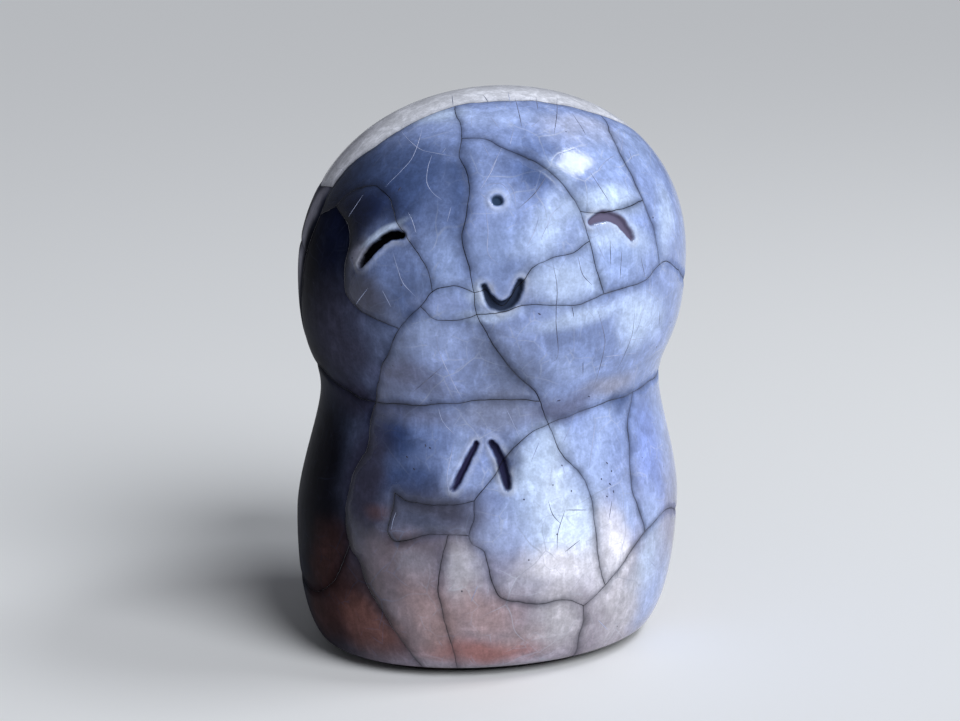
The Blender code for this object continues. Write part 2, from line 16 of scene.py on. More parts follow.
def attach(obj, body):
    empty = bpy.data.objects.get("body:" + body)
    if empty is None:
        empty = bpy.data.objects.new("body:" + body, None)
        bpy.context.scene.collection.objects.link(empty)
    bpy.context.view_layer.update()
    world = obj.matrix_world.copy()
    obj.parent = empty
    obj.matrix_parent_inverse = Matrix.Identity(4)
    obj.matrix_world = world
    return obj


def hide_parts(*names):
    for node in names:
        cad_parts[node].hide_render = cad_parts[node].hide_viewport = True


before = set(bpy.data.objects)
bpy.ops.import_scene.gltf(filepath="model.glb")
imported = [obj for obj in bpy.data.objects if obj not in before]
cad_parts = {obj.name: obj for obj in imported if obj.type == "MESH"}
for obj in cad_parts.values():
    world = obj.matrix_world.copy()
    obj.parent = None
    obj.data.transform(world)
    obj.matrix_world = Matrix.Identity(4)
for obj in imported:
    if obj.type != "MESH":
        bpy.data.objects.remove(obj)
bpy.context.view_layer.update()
MM = 0.001


# The camera looks at the figure's front from a little above, a third of a metre away, and is held
# about two degrees off level. Its lens and place were worked out from the outline of the figure.
CAMERA_DISTANCE = 320.0 * MM
CAMERA_PITCH = math.radians(13.5)
CAMERA_ROLL = math.radians(-1.86)
CAMERA_AIM = Vector((-1.28, 0.05, 40.18)) * MM
CAMERA_LENS = 82.25
SENSOR_WIDTH = 36.0
NEAR_CLIP = 0.01

camera_data = bpy.data.cameras.new("camera")
camera_data.lens = CAMERA_LENS
camera_data.sensor_width = SENSOR_WIDTH
camera_data.clip_start = NEAR_CLIP
camera = bpy.data.objects.new("camera", camera_data)
bpy.context.scene.collection.objects.link(camera)
forward = Vector((0.0, math.cos(CAMERA_PITCH), -math.sin(CAMERA_PITCH)))
camera.location = CAMERA_AIM - forward * CAMERA_DISTANCE
level_view = Euler((math.radians(90) - CAMERA_PITCH, 0.0, 0.0)).to_matrix()
camera.rotation_euler = (level_view @ Matrix.Rotation(CAMERA_ROLL, 3, "Z")).to_euler()
bpy.context.scene.camera = camera


# The torso is the lower of two pinched clay halves. It was turned between the fingers, so its
# outline is a curve about an upright axis, pressed a little flat, leaning and spread at the foot.
CROWN, WIDEST_HEAD, NECK, WIDEST_TORSO, FOOT = 0.0, 1.0, 2.0, 3.0, 4.0
HEIGHT = 80.0 * MM
HEAD_RADIUS = 28.0 * MM
HEAD_LEVEL = 54.7 * MM
NECK_RADIUS = 24.7 * MM
NECK_LEVEL = 37.6 * MM
TORSO_RADIUS = 28.1 * MM
TORSO_LEVEL = 19.4 * MM
FOOT_RADIUS = 20.9 * MM
CROWN_EASE = 15.4 * MM
HEAD_UPPER_EASE = 15.8 * MM
HEAD_LOWER_EASE = 12.0 * MM
NECK_UPPER_EASE = 5.3 * MM
NECK_LOWER_EASE = 4.2 * MM
TORSO_UPPER_EASE = 5.8 * MM
TORSO_LOWER_EASE = 15.2 * MM
FOOT_EASE = 3.2 * MM
DEPTH_SHARE = 0.92
SECTION_TURN = math.radians(9.6)
LEAN_TOP = 3.95 * MM
LEAN_BOW = 1.0 * MM
FOOT_SIDEWAYS = -0.55 * MM
FOOT_FORWARD = -0.9 * MM
FOOT_SPREAD = 1.4 * MM
FOOT_REACH_SHARE = 0.32
AXIS_SHIFT = np.array((1.787, -0.053, 0.0)) * MM
CLAY_WALL = 6.0 * MM
GLAZE_THICKNESS = 0.5 * MM
SEAT_GAP = 0.3 * MM
SLIP_THICKNESS = 1.2 * MM
BARE_FOOT_HEIGHT = 1.2 * MM
FOOT_RING_HEIGHT = 0.7 * MM
CLAY_STEPS = 180
CLAY_SPACING = 0.9 * MM
CLAY_CUTS = 5
CLAY_SHARP_ANGLE = math.radians(60)
FINE_STATIONS = 2000
STATION_NUDGE = 0.01
AZIMUTH_NUDGE = 1.0
STOP_SCALE = (1.0 / 50.0, 1.0)
MERGE_DISTANCE = 0.001 * MM
# The rounded rim of the foot outside and inside: inset, height.
FOOT_RIM = ((0.0, FOOT_RING_HEIGHT), (0.04 * MM, 0.35 * MM), (0.3 * MM, 0.05 * MM), (0.5 * MM, 0.0))
INNER_RIM = ((0.5 * MM, 0.0), (0.1 * MM, 0.2 * MM))
# Each stroke: width, depth, ink colour, stops.
STROKES = {
    "left_eye": (1.25 * MM, 0.95 * MM, (0.0015, 0.0015, 0.0025),
                 [(-40, 0.91), (-36.5, 0.86), (-33, 0.825), (-30, 0.81), (-27.5, 0.81)]),
    "right_eye": (1.45 * MM, 0.50 * MM, (0.135, 0.118, 0.190),
                  [(30, 0.79), (33, 0.78), (36.5, 0.78), (40, 0.80), (42.5, 0.835), (44, 0.86)]),
    "mouth": (1.35 * MM, 0.80 * MM, (0.030, 0.042, 0.080),
              [(-2.2, 0.965), (-0.9, 0.995), (0.9, 1.02), (2.9, 1.03), (4.9, 1.018), (6.5, 0.995),
               (7.8, 0.955)]),
    "left_hand": (0.88 * MM, 0.75 * MM, (0.030, 0.028, 0.080), [(-4, 2.23), (-7, 2.39), (-10.3, 2.55)]),
    "right_hand": (1.20 * MM, 0.75 * MM, (0.026, 0.027, 0.070), [(1, 2.23), (3.6, 2.35), (5.8, 2.55)]),
    "brow_dot": (2.3 * MM, 0.65 * MM, (0.038, 0.068, 0.130), [(1.1, 0.69), (1.3, 0.69)]),
}
STROKE_LIP = 0.11 * MM
STROKE_REACH = 2.4 * MM
STROKE_STEP = 0.008
STROKE_TAPER = 0.32
TROUGH_EDGES = (-0.34 * MM, 0.10 * MM)
LIP_CENTRE = 0.45 * MM
LIP_SPREAD = 0.30 * MM
# Each waver of a stroke's edge: scale of the noise, size in mm.
STROKE_WAVERS = ((1300.0, 0.09), (500.0, 0.10))
CLAY_SOOT = (140.0, 3.0, 0.6)
CLAY_STOPS = [(0.30, (0.010, 0.009, 0.012)), (0.58, (0.030, 0.026, 0.030)), (0.75, (0.075, 0.060, 0.055))]
CLAY_ROUGHNESS = 0.82
CLAY_BUMP = ((900.0, 4.0), 0.08 * MM, 0.6)


def curve_points(knots, t):
    """Points of a cubic curve at the parameters t."""
    keep = 1.0 - t
    first, first_handle, last_handle, last = (np.array(knot) for knot in knots)
    return (np.outer(keep ** 3, first) + np.outer(3 * keep ** 2 * t, first_handle)
            + np.outer(3 * keep * t ** 2, last_handle) + np.outer(t ** 3, last))


def outline_curves(wall=0.0):
    """The four curves of the outline, from crown to foot, drawn in by a wall thickness."""
    crown = (0.0, HEIGHT - wall)
    head = (HEAD_RADIUS - wall, HEAD_LEVEL)
    neck = (NECK_RADIUS - wall, NECK_LEVEL)
    torso = (TORSO_RADIUS - wall, TORSO_LEVEL)
    foot = (FOOT_RADIUS - wall, 0.0)
    return [
        (crown, (CROWN_EASE - wall / 2, crown[1]), (head[0], HEAD_LEVEL + HEAD_UPPER_EASE - wall / 2), head),
        (head, (head[0], HEAD_LEVEL - HEAD_LOWER_EASE), (neck[0], NECK_LEVEL + NECK_UPPER_EASE), neck),
        (neck, (neck[0], NECK_LEVEL - NECK_LOWER_EASE), (torso[0], TORSO_LEVEL + TORSO_UPPER_EASE), torso),
        (torso, (torso[0], TORSO_LEVEL - TORSO_LOWER_EASE), (foot[0] + FOOT_EASE, 0.0), foot),
    ]


def outline_at(stations, wall=0.0):
    """Radius and height at each station."""
    stations = np.asarray(stations, dtype=float)
    curves = outline_curves(wall)
    index = np.clip(stations.astype(int), 0, 3)
    points = np.zeros((len(stations), 2))
    for number, knots in enumerate(curves):
        here = index == number
        points[here] = curve_points(knots, stations[here] - number)
    return points


def outline_inset(stations, inset):
    """Radius and height at each station, set in square to the outline."""
    nudge = 0.001
    along = outline_at(np.minimum(stations + nudge, FOOT)) - outline_at(np.maximum(stations - nudge, CROWN))
    along /= np.linalg.norm(along, axis=1, keepdims=True)
    return outline_at(stations) + np.column_stack((along[:, 1], -along[:, 0])) * inset


def spread_stations(first, last, spacing):
    """Stations from first to last that lie evenly along the outline."""
    fine = np.linspace(first, last, FINE_STATIONS)
    points = outline_at(fine)
    length = np.concatenate(([0.0], np.cumsum(np.linalg.norm(np.diff(points, axis=0), axis=1))))
    count = max(2, int(round(length[-1] / spacing)) + 1)
    return np.interp(np.linspace(0.0, length[-1], count), length, fine)


def station_at(height, low, high):
    """The station between two others at which the outline has come down to a height."""
    fine = np.linspace(high, low, 2 * FINE_STATIONS)
    return float(np.interp(height, outline_at(fine)[:, 1], fine))


def press(turned):
    """Move points of the turned form to where hand pressing leaves them."""
    x, y, z = turned[:, 0], turned[:, 1], turned[:, 2]
    cosine, sine = math.cos(SECTION_TURN), math.sin(SECTION_TURN)
    along = x * cosine + y * sine
    across = (y * cosine - x * sine) * DEPTH_SHARE
    share = z / HEIGHT
    low = np.maximum(0.0, 1.0 - share / FOOT_REACH_SHARE) ** 2
    spread = FOOT_SPREAD * np.sin(2 * (np.arctan2(x, -y) - SECTION_TURN))
    lean = LEAN_BOW * 4 * share * (1 - share) + LEAN_TOP * share ** 2
    pressed = np.column_stack((along * cosine - across * sine + lean + low * (FOOT_SIDEWAYS + spread),
                               along * sine + across * cosine + low * FOOT_FORWARD,
                               z))
    return pressed - AXIS_SHIFT


def on_coat(azimuths, stations):
    """Places on the glazed surface at azimuths in degrees and stations."""
    radius, height = outline_at(stations).T
    angle = np.radians(azimuths)
    return press(np.column_stack((radius * np.sin(angle), -radius * np.cos(angle), height)))


def outward(azimuths, stations):
    """Directions that point straight out of the glazed surface."""
    azimuths, stations = np.asarray(azimuths, dtype=float), np.asarray(stations, dtype=float)
    below = np.minimum(stations + STATION_NUDGE, FOOT)
    down = on_coat(azimuths, below) - on_coat(azimuths, stations - STATION_NUDGE)
    around = on_coat(azimuths + AZIMUTH_NUDGE, stations) - on_coat(azimuths - AZIMUTH_NUDGE, stations)
    out = np.cross(down, around)
    return out / np.linalg.norm(out, axis=1, keepdims=True)


def smooth_route(stops, step, scale=STOP_SCALE):
    """An even curve through the stops of a stroke or crack, given by azimuth and station or by pixels."""
    scale = np.array(scale)
    points = [np.array(stop, dtype=float) for stop in stops]
    points.insert(0, points[0] * 2 - points[1])
    points.append(points[-1] * 2 - points[-2])
    route = [points[1]]
    for index in range(1, len(points) - 2):
        p0, p1, p2, p3 = points[index - 1:index + 3]
        k1 = math.sqrt(np.linalg.norm((p1 - p0) * scale))
        k2 = k1 + math.sqrt(np.linalg.norm((p2 - p1) * scale))
        k3 = k2 + math.sqrt(np.linalg.norm((p3 - p2) * scale))
        count = max(1, math.ceil(np.linalg.norm((p2 - p1) * scale) / step))
        for number in range(1, count + 1):
            k = k1 + (k2 - k1) * number / count
            a1 = p0 + (p1 - p0) * k / k1
            a2 = p1 + (p2 - p1) * (k - k1) / (k2 - k1)
            a3 = p2 + (p3 - p2) * (k - k2) / (k3 - k2)
            b1 = a1 + (a2 - a1) * k / k2
            b2 = a2 + (a3 - a2) * (k - k1) / (k3 - k1)
            route.append(b1 + (b2 - b1) * (k - k1) / (k2 - k1))
    return np.array(route)


def tree_of(points):
    """A search tree over points."""
    tree = kdtree.KDTree(len(points))
    for index, point in enumerate(points):
        tree.insert(Vector(point), index)
    tree.balance()
    return tree


def distances(tree, points):
    """How far each point is from the nearest one in a tree, and which one that is."""
    found = [tree.find(Vector(point)) for point in points]
    return np.array([hit[2] for hit in found]), np.array([hit[1] for hit in found])


stroke_places = []
stroke_widths = []
stroke_depths = []
stroke_inks = []
for width, depth, ink, stops in STROKES.values():
    route = smooth_route(stops, STROKE_STEP)
    stroke_places.extend(on_coat(route[:, 0], route[:, 1]))
    along = np.linspace(-1.0, 1.0, len(route))
    stroke_widths.extend(width * (1.0 - STROKE_TAPER * along ** 4))
    stroke_depths.extend([depth] * len(route))
    stroke_inks.extend([ink] * len(route))
stroke_tree = tree_of(stroke_places)
stroke_widths = np.array(stroke_widths)
stroke_depths = np.array(stroke_depths)
stroke_inks = np.array(stroke_inks)


def from_stroke_edge(points):
    """How far each point is outside the nearest pressed stroke, negative inside, and that stroke's index."""
    reach, which = distances(stroke_tree, points)
    edge = reach - stroke_widths[which] / 2
    for index in np.flatnonzero(edge < STROKE_REACH):
        place = Vector(points[index])
        edge[index] += sum(noise.noise(place * scale) * size for scale, size in STROKE_WAVERS) * MM
    return edge, which


def ease(value, start, end):
    """A smooth step from 0 at start to 1 at end."""
    t = np.clip((value - start) / (end - start), 0.0, 1.0)
    return t * t * (3 - 2 * t)


def stroke_sink(edge, which):
    """How deep the surface lies at a distance from a stroke's edge: a rounded trough with a low lip."""
    trough = stroke_depths[which] * (1.0 - ease(edge, *TROUGH_EDGES))
    lip = STROKE_LIP * np.exp(-((edge - LIP_CENTRE) / LIP_SPREAD) ** 2)
    return np.where(edge < STROKE_REACH, trough - lip, 0.0)


def at_vertices(mesh, field="co"):
    """The place of each vertex of a mesh, or its normal."""
    flat = np.empty(len(mesh.vertices) * 3)
    mesh.vertices.foreach_get(field, flat)
    return flat.reshape(-1, 3)


def set_points(mesh, points):
    mesh.vertices.foreach_set("co", np.ascontiguousarray(points).ravel())
    mesh.update()


def mesh_from(form, name):
    """A new mesh with the faces of a bmesh, which is then freed."""
    mesh = bpy.data.meshes.new(name)
    form.to_mesh(mesh)
    form.free()
    return mesh


def turned_form(name, profile, steps, closed):
    """Spin a profile of (radius, height) about the axis and press it, as a mesh."""
    form = bmesh.new()
    line = [form.verts.new((radius, 0.0, height)) for radius, height in profile]
    edges = [form.edges.new(pair) for pair in zip(line, line[1:])]
    if closed:
        edges.append(form.edges.new((line[-1], line[0])))
    bmesh.ops.spin(form, geom=line + edges, cent=(0, 0, 0), axis=(0, 0, 1), angle=math.tau, steps=steps,
                   use_merge=True)
    bmesh.ops.remove_doubles(form, verts=form.verts, dist=MERGE_DISTANCE)
    bmesh.ops.recalc_face_normals(form, faces=form.faces)
    mesh = mesh_from(form, name)
    set_points(mesh, press(at_vertices(mesh)))
    return mesh


def refine_strokes(mesh, cuts):
    """Divide the faces near the pressed strokes more finely."""
    form = bmesh.new()
    form.from_mesh(mesh)
    near, _ = distances(stroke_tree, [vert.co for vert in form.verts])
    form.verts.index_update()
    close = [edge for edge in form.edges if all(near[vert.index] < STROKE_REACH for vert in edge.verts)]
    bmesh.ops.subdivide_edges(form, edges=close, cuts=cuts, use_grid_fill=True)
    form.to_mesh(mesh)
    form.free()
    mesh.update()


def press_strokes(mesh):
    """Sink the clay where the strokes are pressed in through the coat over it."""
    points = at_vertices(mesh)
    normals = at_vertices(mesh, "normal")
    sink = stroke_sink(*from_stroke_edge(points + normals * (GLAZE_THICKNESS + SEAT_GAP)))
    set_points(mesh, points - normals * sink[:, None])


def add_piece(name, mesh):
    piece = bpy.data.objects.new(name, mesh)
    bpy.context.scene.collection.objects.link(piece)
    return piece


def new_material(name):
    """A new material, its node graph and its shader."""
    material = bpy.data.materials.new(name)
    material.use_nodes = True
    return material, material.node_tree, material.node_tree.nodes["Principled BSDF"]


def object_noise(graph, scale, detail, warp=0.0, place=None, output="Fac"):
    """A noise texture fixed to the object, or to the places that are given."""
    if place is None:
        place = graph.nodes.new("ShaderNodeTexCoord").outputs["Object"]
    texture = graph.nodes.new("ShaderNodeTexNoise")
    texture.inputs["Scale"].default_value = scale
    texture.inputs["Detail"].default_value = detail
    texture.inputs["Distortion"].default_value = warp
    graph.links.new(place, texture.inputs["Vector"])
    return texture.outputs[output]


def colour_ramp(graph, source, stops):
    """A ramp from stops, each a position and a colour, or a single number for a grey."""
    ramp = graph.nodes.new("ShaderNodeValToRGB")
    elements = ramp.color_ramp.elements
    while len(elements) < len(stops):
        elements.new(0.5)
    for element, (position, colour) in zip(elements, stops):
        element.position = position
        element.color = (*np.broadcast_to(colour, 3), 1.0)
    graph.links.new(source, ramp.inputs["Fac"])
    return ramp.outputs["Color"]


def add_bump(graph, height, distance, strength, normal=None):
    bump = graph.nodes.new("ShaderNodeBump")
    bump.inputs["Distance"].default_value = distance
    bump.inputs["Strength"].default_value = strength
    graph.links.new(height, bump.inputs["Height"])
    if normal is not None:
        graph.links.new(normal, bump.inputs["Normal"])
    return bump.outputs["Normal"]


def plain_material(name, tone, stops, roughness, bump=None):
    """A material whose colour follows one noise. A bump is given as its noise, distance and strength."""
    material, graph, shader = new_material(name)
    colour = colour_ramp(graph, object_noise(graph, *tone), stops)
    graph.links.new(colour, shader.inputs["Base Color"])
    shader.inputs["Roughness"].default_value = roughness
    if bump is not None:
        grain, distance, strength = bump
        normal = add_bump(graph, object_noise(graph, *grain), distance, strength)
        graph.links.new(normal, shader.inputs["Normal"])
    return material


smoked_clay = plain_material("smoked_clay", CLAY_SOOT, CLAY_STOPS, CLAY_ROUGHNESS, CLAY_BUMP)


def clay_half(name, profile, closed):
    """One pinched half of the figure, with the strokes pressed into it."""
    mesh = turned_form(name, profile, CLAY_STEPS, closed)
    refine_strokes(mesh, CLAY_CUTS)
    press_strokes(mesh)
    mesh.shade_smooth()
    mesh.set_sharp_from_angle(angle=CLAY_SHARP_ANGLE)
    mesh.materials.append(smoked_clay)
    return add_piece(name, mesh)


torso_top = NECK_LEVEL - SLIP_THICKNESS / 2 - SEAT_GAP
stations = spread_stations(station_at(torso_top, NECK, WIDEST_TORSO), FOOT, CLAY_SPACING)
outer = outline_inset(stations, GLAZE_THICKNESS + SEAT_GAP)
inner = outline_at(stations, CLAY_WALL + GLAZE_THICKNESS + SEAT_GAP)
outer[0, 1] = torso_top
inner[0, 1] = torso_top
outer = outer[outer[:, 1] > FOOT_RING_HEIGHT]
foot_rim = [(FOOT_RADIUS - inset, height) for inset, height in FOOT_RIM]
inner_rim = [(inner[-1, 0] + inset, height) for inset, height in INNER_RIM]
torso_clay = clay_half("torso_clay", [*outer, *foot_rim, *inner_rim, *inner[-2::-1]], True)
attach(torso_clay, "root")
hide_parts("clay_torso")


# The head is the upper clay half, a hollow dome of the same smoked clay. The eyes, the mouth and
# the brow dot were pressed into it with a stick before it was glazed.
head_bottom = NECK_LEVEL + SLIP_THICKNESS / 2 + SEAT_GAP
stations = spread_stations(CROWN, station_at(head_bottom, WIDEST_HEAD, NECK), CLAY_SPACING)
outer = outline_inset(stations, GLAZE_THICKNESS + SEAT_GAP)
inner = outline_at(stations, CLAY_WALL + GLAZE_THICKNESS + SEAT_GAP)
outer[0, 0] = 0.0
inner[0, 0] = 0.0
outer[-1, 1] = head_bottom
inner[-1, 1] = head_bottom
head_clay = clay_half("head_clay", [*outer, *inner[::-1]], False)
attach(head_clay, "root")
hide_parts("clay_head")


# A ring of slip lutes the head to the torso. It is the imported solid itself, under the glaze, and
# only gets its own grey, matt finish.
SLIP_TONE = (260.0, 3.0)
SLIP_STOPS = [(0.3, (0.06, 0.055, 0.055)), (0.7, (0.14, 0.125, 0.12))]
SLIP_ROUGHNESS = 0.88
SLIP_BUMP = ((1200.0, 3.0), 0.06 * MM, 0.5)

grey_slip = plain_material("grey_slip", SLIP_TONE, SLIP_STOPS, SLIP_ROUGHNESS, SLIP_BUMP)
slip_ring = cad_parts["neck_slip"]
slip_ring.data.materials.clear()
slip_ring.data.materials.append(grey_slip)


# The glaze is a thin glass coat that broke into plates as the pot cooled during the smoking. Each crack runs
# right through it. The list gives each one as stops of azimuth and station.
CRACKS = {
    "hairline": [(-86, 1.70), (-82, 1.35), (-77, 1.08), (-71, 0.91), (-67, 0.78), (-68, 0.68), (-65, 0.59),
                 (-58, 0.49), (-49, 0.35), (-33, 0.23), (-14, 0.20), (8, 0.19), (34, 0.21), (55, 0.28),
                 (72, 0.38)],
    "parting": [(-33, 0.23), (-18, 0.36), (-15, 0.43), (-14, 0.50), (-8, 0.63), (-8, 0.71), (-9, 0.80),
                (-7, 0.89), (-5, 0.98)],
    "brow": [(-15, 0.43), (-6, 0.43), (2, 0.47), (16, 0.56), (23, 0.65), (27, 0.75), (29, 0.85), (30, 0.93),
             (33, 1.02)],
    "right_temple": [(72, 0.38), (65, 0.43), (59, 0.47), (55, 0.54), (53, 0.62), (53, 0.75), (55, 0.86),
                     (56, 0.965)],
    "above_right_eye": [(27, 0.75), (34, 0.765), (42, 0.76), (53, 0.75)],
    "mouth_left": [(-5, 0.98), (-3.4, 0.975), (-1.6, 0.975)],
    "mouth_middle": [(-1.6, 0.975), (0, 1.00), (2.8, 1.03), (5.5, 1.00), (7.6, 0.965)],
    "mouth_right": [(7.6, 0.965), (11, 0.92), (17, 0.89), (23, 0.88), (29, 0.85)],
    "cheek": [(-4, 1.06), (3, 1.05), (9, 1.03), (17, 1.04), (24, 1.05), (33, 1.02), (42, 1.01), (50, 1.00),
              (56, 0.965), (62, 0.965), (70, 1.01), (84, 1.09), (97, 1.12), (110, 1.08), (122, 1.02),
              (136, 0.99), (150, 1.03), (163, 1.06), (177, 1.03)],
    "chin": [(-5, 0.98), (-4, 1.06), (-1, 1.16), (2, 1.27), (5, 1.39), (10, 1.58), (14, 1.74), (16, 1.86),
             (19, 2.11)],
    "left_cheek": [(-5, 0.98), (-9, 0.965), (-13, 0.965), (-17, 0.98), (-20, 1.03), (-24, 1.09),
                   (-27, 1.14), (-31, 1.30), (-34, 1.42), (-36, 1.55), (-38, 1.72), (-40, 1.90)],
    "below_mouth_corner": [(-20, 1.03), (-16, 1.08), (-12, 1.09), (-8, 1.08), (-4, 1.06)],
    "above_left_eye": [(-67, 0.78), (-59, 0.735), (-55, 0.69), (-49, 0.655), (-42, 0.65), (-36, 0.68),
                       (-32, 0.73), (-30, 0.77), (-26, 0.81), (-21, 0.87), (-18, 0.92), (-17, 0.98)],
    "below_left_eye": [(-59, 0.735), (-53, 0.765), (-48, 0.80), (-46, 0.85), (-47, 0.93), (-46, 1.00),
                       (-42, 1.05), (-37, 1.085), (-31, 1.11), (-27, 1.14)],
    "neck_left": [(-86, 1.70), (-71, 1.68), (-63, 1.77), (-55, 1.83), (-48, 1.88), (-40, 1.90), (-25, 1.89),
                  (-10, 1.84), (4, 1.82), (16, 1.86)],
    "neck_right": [(19, 2.11), (30, 2.04), (41, 1.99), (55, 1.985), (64, 1.96), (76, 1.96), (90, 1.92),
                   (104, 1.95), (120, 2.01), (138, 1.94), (155, 1.87), (172, 1.89), (190, 1.95),
                   (209, 1.86), (228, 1.91), (248, 1.85), (262, 1.78), (274, 1.70)],
    "sleeve_edge": [(19, 2.11), (15, 2.15), (10, 2.24), (5, 2.36), (1, 2.48), (-4, 2.63)],
    "girdle_top": [(-4, 2.63), (-10, 2.655), (-18, 2.665), (-24, 2.65), (-29, 2.60)],
    "girdle_bottom": [(-29, 2.60), (-29, 2.75), (-29.5, 2.88), (-27, 2.94), (-22, 2.91), (-17, 2.87),
                      (-11, 2.86), (-5, 2.87)],
    "belly_left": [(-4, 2.63), (-4, 2.75), (-5, 2.87), (-4, 2.93), (-1, 2.99), (1, 3.06), (4, 3.16),
                   (10, 3.19), (16, 3.21), (24, 3.21), (30, 3.25)],
    "below_belly": [(30, 3.25), (30.5, 3.34), (30, 3.45), (31, 3.60), (31, 3.80)],
    "waist": [(30, 3.25), (37, 3.18), (42, 3.13), (48, 3.06), (53, 3.03), (59, 3.01), (66, 2.99),
              (74, 3.01), (86, 3.05), (98, 3.03), (110, 2.93), (122, 2.87), (135, 2.94), (148, 3.03),
              (160, 3.05), (172, 3.00), (184, 2.85), (197, 2.76), (210, 2.82), (222, 2.97), (236, 3.07),
              (250, 3.15), (264, 3.21), (276, 3.24), (287, 3.25)],
    "belly_right": [(19, 2.11), (21, 2.24), (23, 2.35), (27, 2.47), (30, 2.57), (32, 2.72), (32.5, 2.87),
                    (33, 3.00), (34, 3.09), (37, 3.18)],
    "right_side": [(55, 1.985), (54, 2.08), (51, 2.24), (50, 2.40), (48, 2.68), (50, 2.87), (53, 3.03)],
    "left_side": [(-40, 1.90), (-42, 2.09), (-42, 2.33), (-44, 2.42), (-46, 2.56), (-46, 2.80), (-43, 3.01),
                  (-39, 3.06), (-36, 3.13), (-31, 3.23), (-26, 3.34), (-21, 3.51), (-18, 3.65),
                  (-17, 3.80)],
    "front_skirt": [(-11, 2.86), (-12, 2.97), (-13, 3.07), (-13, 3.14), (-11, 3.25), (-9, 3.38), (-7, 3.55),
                    (-6, 3.80)],
    "left_hem": [(-43, 3.01), (-46, 3.08), (-50, 3.16), (-56, 3.22), (-63, 3.25), (-73, 3.25)],
    "behind_crown": [(72, 0.38), (88, 0.47), (104, 0.56), (112, 0.60), (126, 0.58), (142, 0.52),
                     (158, 0.48), (172, 0.46), (190, 0.50), (208, 0.56), (222, 0.60), (238, 0.61),
                     (256, 0.66), (274, 0.70), (292, 0.68)],
    "back_parting": [(172, 0.46), (168, 0.58), (171, 0.72), (177, 0.86), (178, 0.95), (177, 1.03),
                     (173, 1.20), (169, 1.42), (170, 1.65), (172, 1.89)],
    "behind_right_temple": [(112, 0.60), (108, 0.72), (111, 0.84), (117, 0.95), (122, 1.02)],
    "right_nape": [(97, 1.12), (101, 1.28), (99, 1.50), (102, 1.72), (104, 1.95)],
    "behind_left_temple": [(178, 0.95), (190, 0.91), (202, 0.94), (212, 0.99), (220, 1.04), (229, 1.06),
                           (240, 1.04), (252, 0.98), (264, 0.92), (276, 0.90), (289, 0.91)],
    "back_left_head": [(222, 0.60), (228, 0.70), (226, 0.82), (229, 0.94), (229, 1.06)],
    "left_nape": [(212, 0.99), (208, 1.15), (212, 1.38), (210, 1.62), (209, 1.86)],
    "right_shoulder": [(120, 2.01), (116, 2.20), (118, 2.38), (122, 2.62), (122, 2.87)],
    "below_right_shoulder": [(118, 2.38), (130, 2.42), (142, 2.46), (150, 2.62), (151, 2.82), (148, 3.03)],
    "back_middle": [(190, 1.95), (187, 2.16), (191, 2.40), (197, 2.58), (197, 2.76)],
    "left_shoulder": [(248, 1.85), (251, 2.10), (247, 2.38), (250, 2.68), (248, 2.95), (250, 3.15)],
    "right_hem": [(98, 3.03), (101, 3.15), (98, 3.30), (100, 3.50), (99, 3.80)],
    "back_right_hem": [(160, 3.05), (157, 3.20), (160, 3.36), (158, 3.55), (158, 3.80)],
    "back_left_hem": [(222, 2.97), (226, 3.10), (222, 3.27), (224, 3.50), (224, 3.80)],
    "left_rear_hem": [(276, 3.24), (273, 3.36), (275, 3.55), (274, 3.80)],
}
PLATES = {
    "glaze_crown": (180, 0.25),
    "glaze_left_forehead": (-38, 0.50),
    "glaze_centre_forehead": (8, 0.75),
    "glaze_right_brow": (38, 0.55),
    "glaze_right_temple": (80, 0.75),
    "glaze_left_eyelid": (-33, 0.95),
    "glaze_right_eyelid": (42, 0.90),
    "glaze_left_cheek": (-60, 1.10),
    "glaze_right_cheek": (20, 0.97),
    "glaze_mouth_corner": (-12, 1.03),
    "glaze_chin": (-12, 1.50),
    "glaze_right_jowl": (40, 1.35),
    "glaze_left_sleeve": (-25, 2.30),
    "glaze_girdle": (-15, 2.76),
    "glaze_belly": (15, 2.80),
    "glaze_right_breast": (38, 2.45),
    "glaze_right_flank": (80, 2.50),
    "glaze_left_flank": (-70, 2.50),
    "glaze_front_skirt": (12, 3.45),
    "glaze_right_skirt": (65, 3.30),
    "glaze_left_skirt": (-50, 3.45),
    "glaze_right_rear_head": (140, 0.80),
    "glaze_left_rear_head": (200, 0.75),
    "glaze_left_rear_temple": (255, 0.80),
    "glaze_right_nape": (135, 1.40),
    "glaze_left_nape": (192, 1.40),
    "glaze_left_rear_cheek": (240, 1.40),
    "glaze_back_shoulder": (165, 2.40),
    "glaze_right_rear_flank": (133, 2.70),
    "glaze_left_rear_flank": (220, 2.40),
    "glaze_right_rear_skirt": (130, 3.35),
    "glaze_back_skirt": (190, 3.30),
    "glaze_left_rear_skirt": (250, 3.40),
}
CRACK_WIDTH = 0.115 * MM
CRACK_THIN_SHARE = 0.35
CRACK_END = 0.8 * MM
CRACK_REACH = 0.9 * MM
CUTTER_PROUD = 0.4 * MM
END_OVERRUN = 0.3
COAT_STEPS = 250
COAT_SPACING = 0.64 * MM
CRACK_SINK = 0.17 * MM
CRACK_SOFTNESS = 1.4 * MM
FOOT_ROLL = 0.28 * MM
FOOT_ROLL_HEIGHT = 0.9 * MM
COAT_CUTS = 2
WALL_STEP = 0.014
KEY_DIGITS = 9
OPENNESS_SCALE = 260.0
HALF_OPEN = 0.5
WANDER_SEED = 11
# Each step of a crack's wander: scale of the noise, size in mm.
CRACK_WANDER = ((330.0, 0.24), (1100.0, 0.08))


def soft_steps(points, sizes):
    """How far soft noise moves each point."""
    places = [Vector(point) for point in points]
    return np.array([sum((noise.noise_vector(place * scale) * size for scale, size in sizes), Vector())
                     for place in places]) * MM


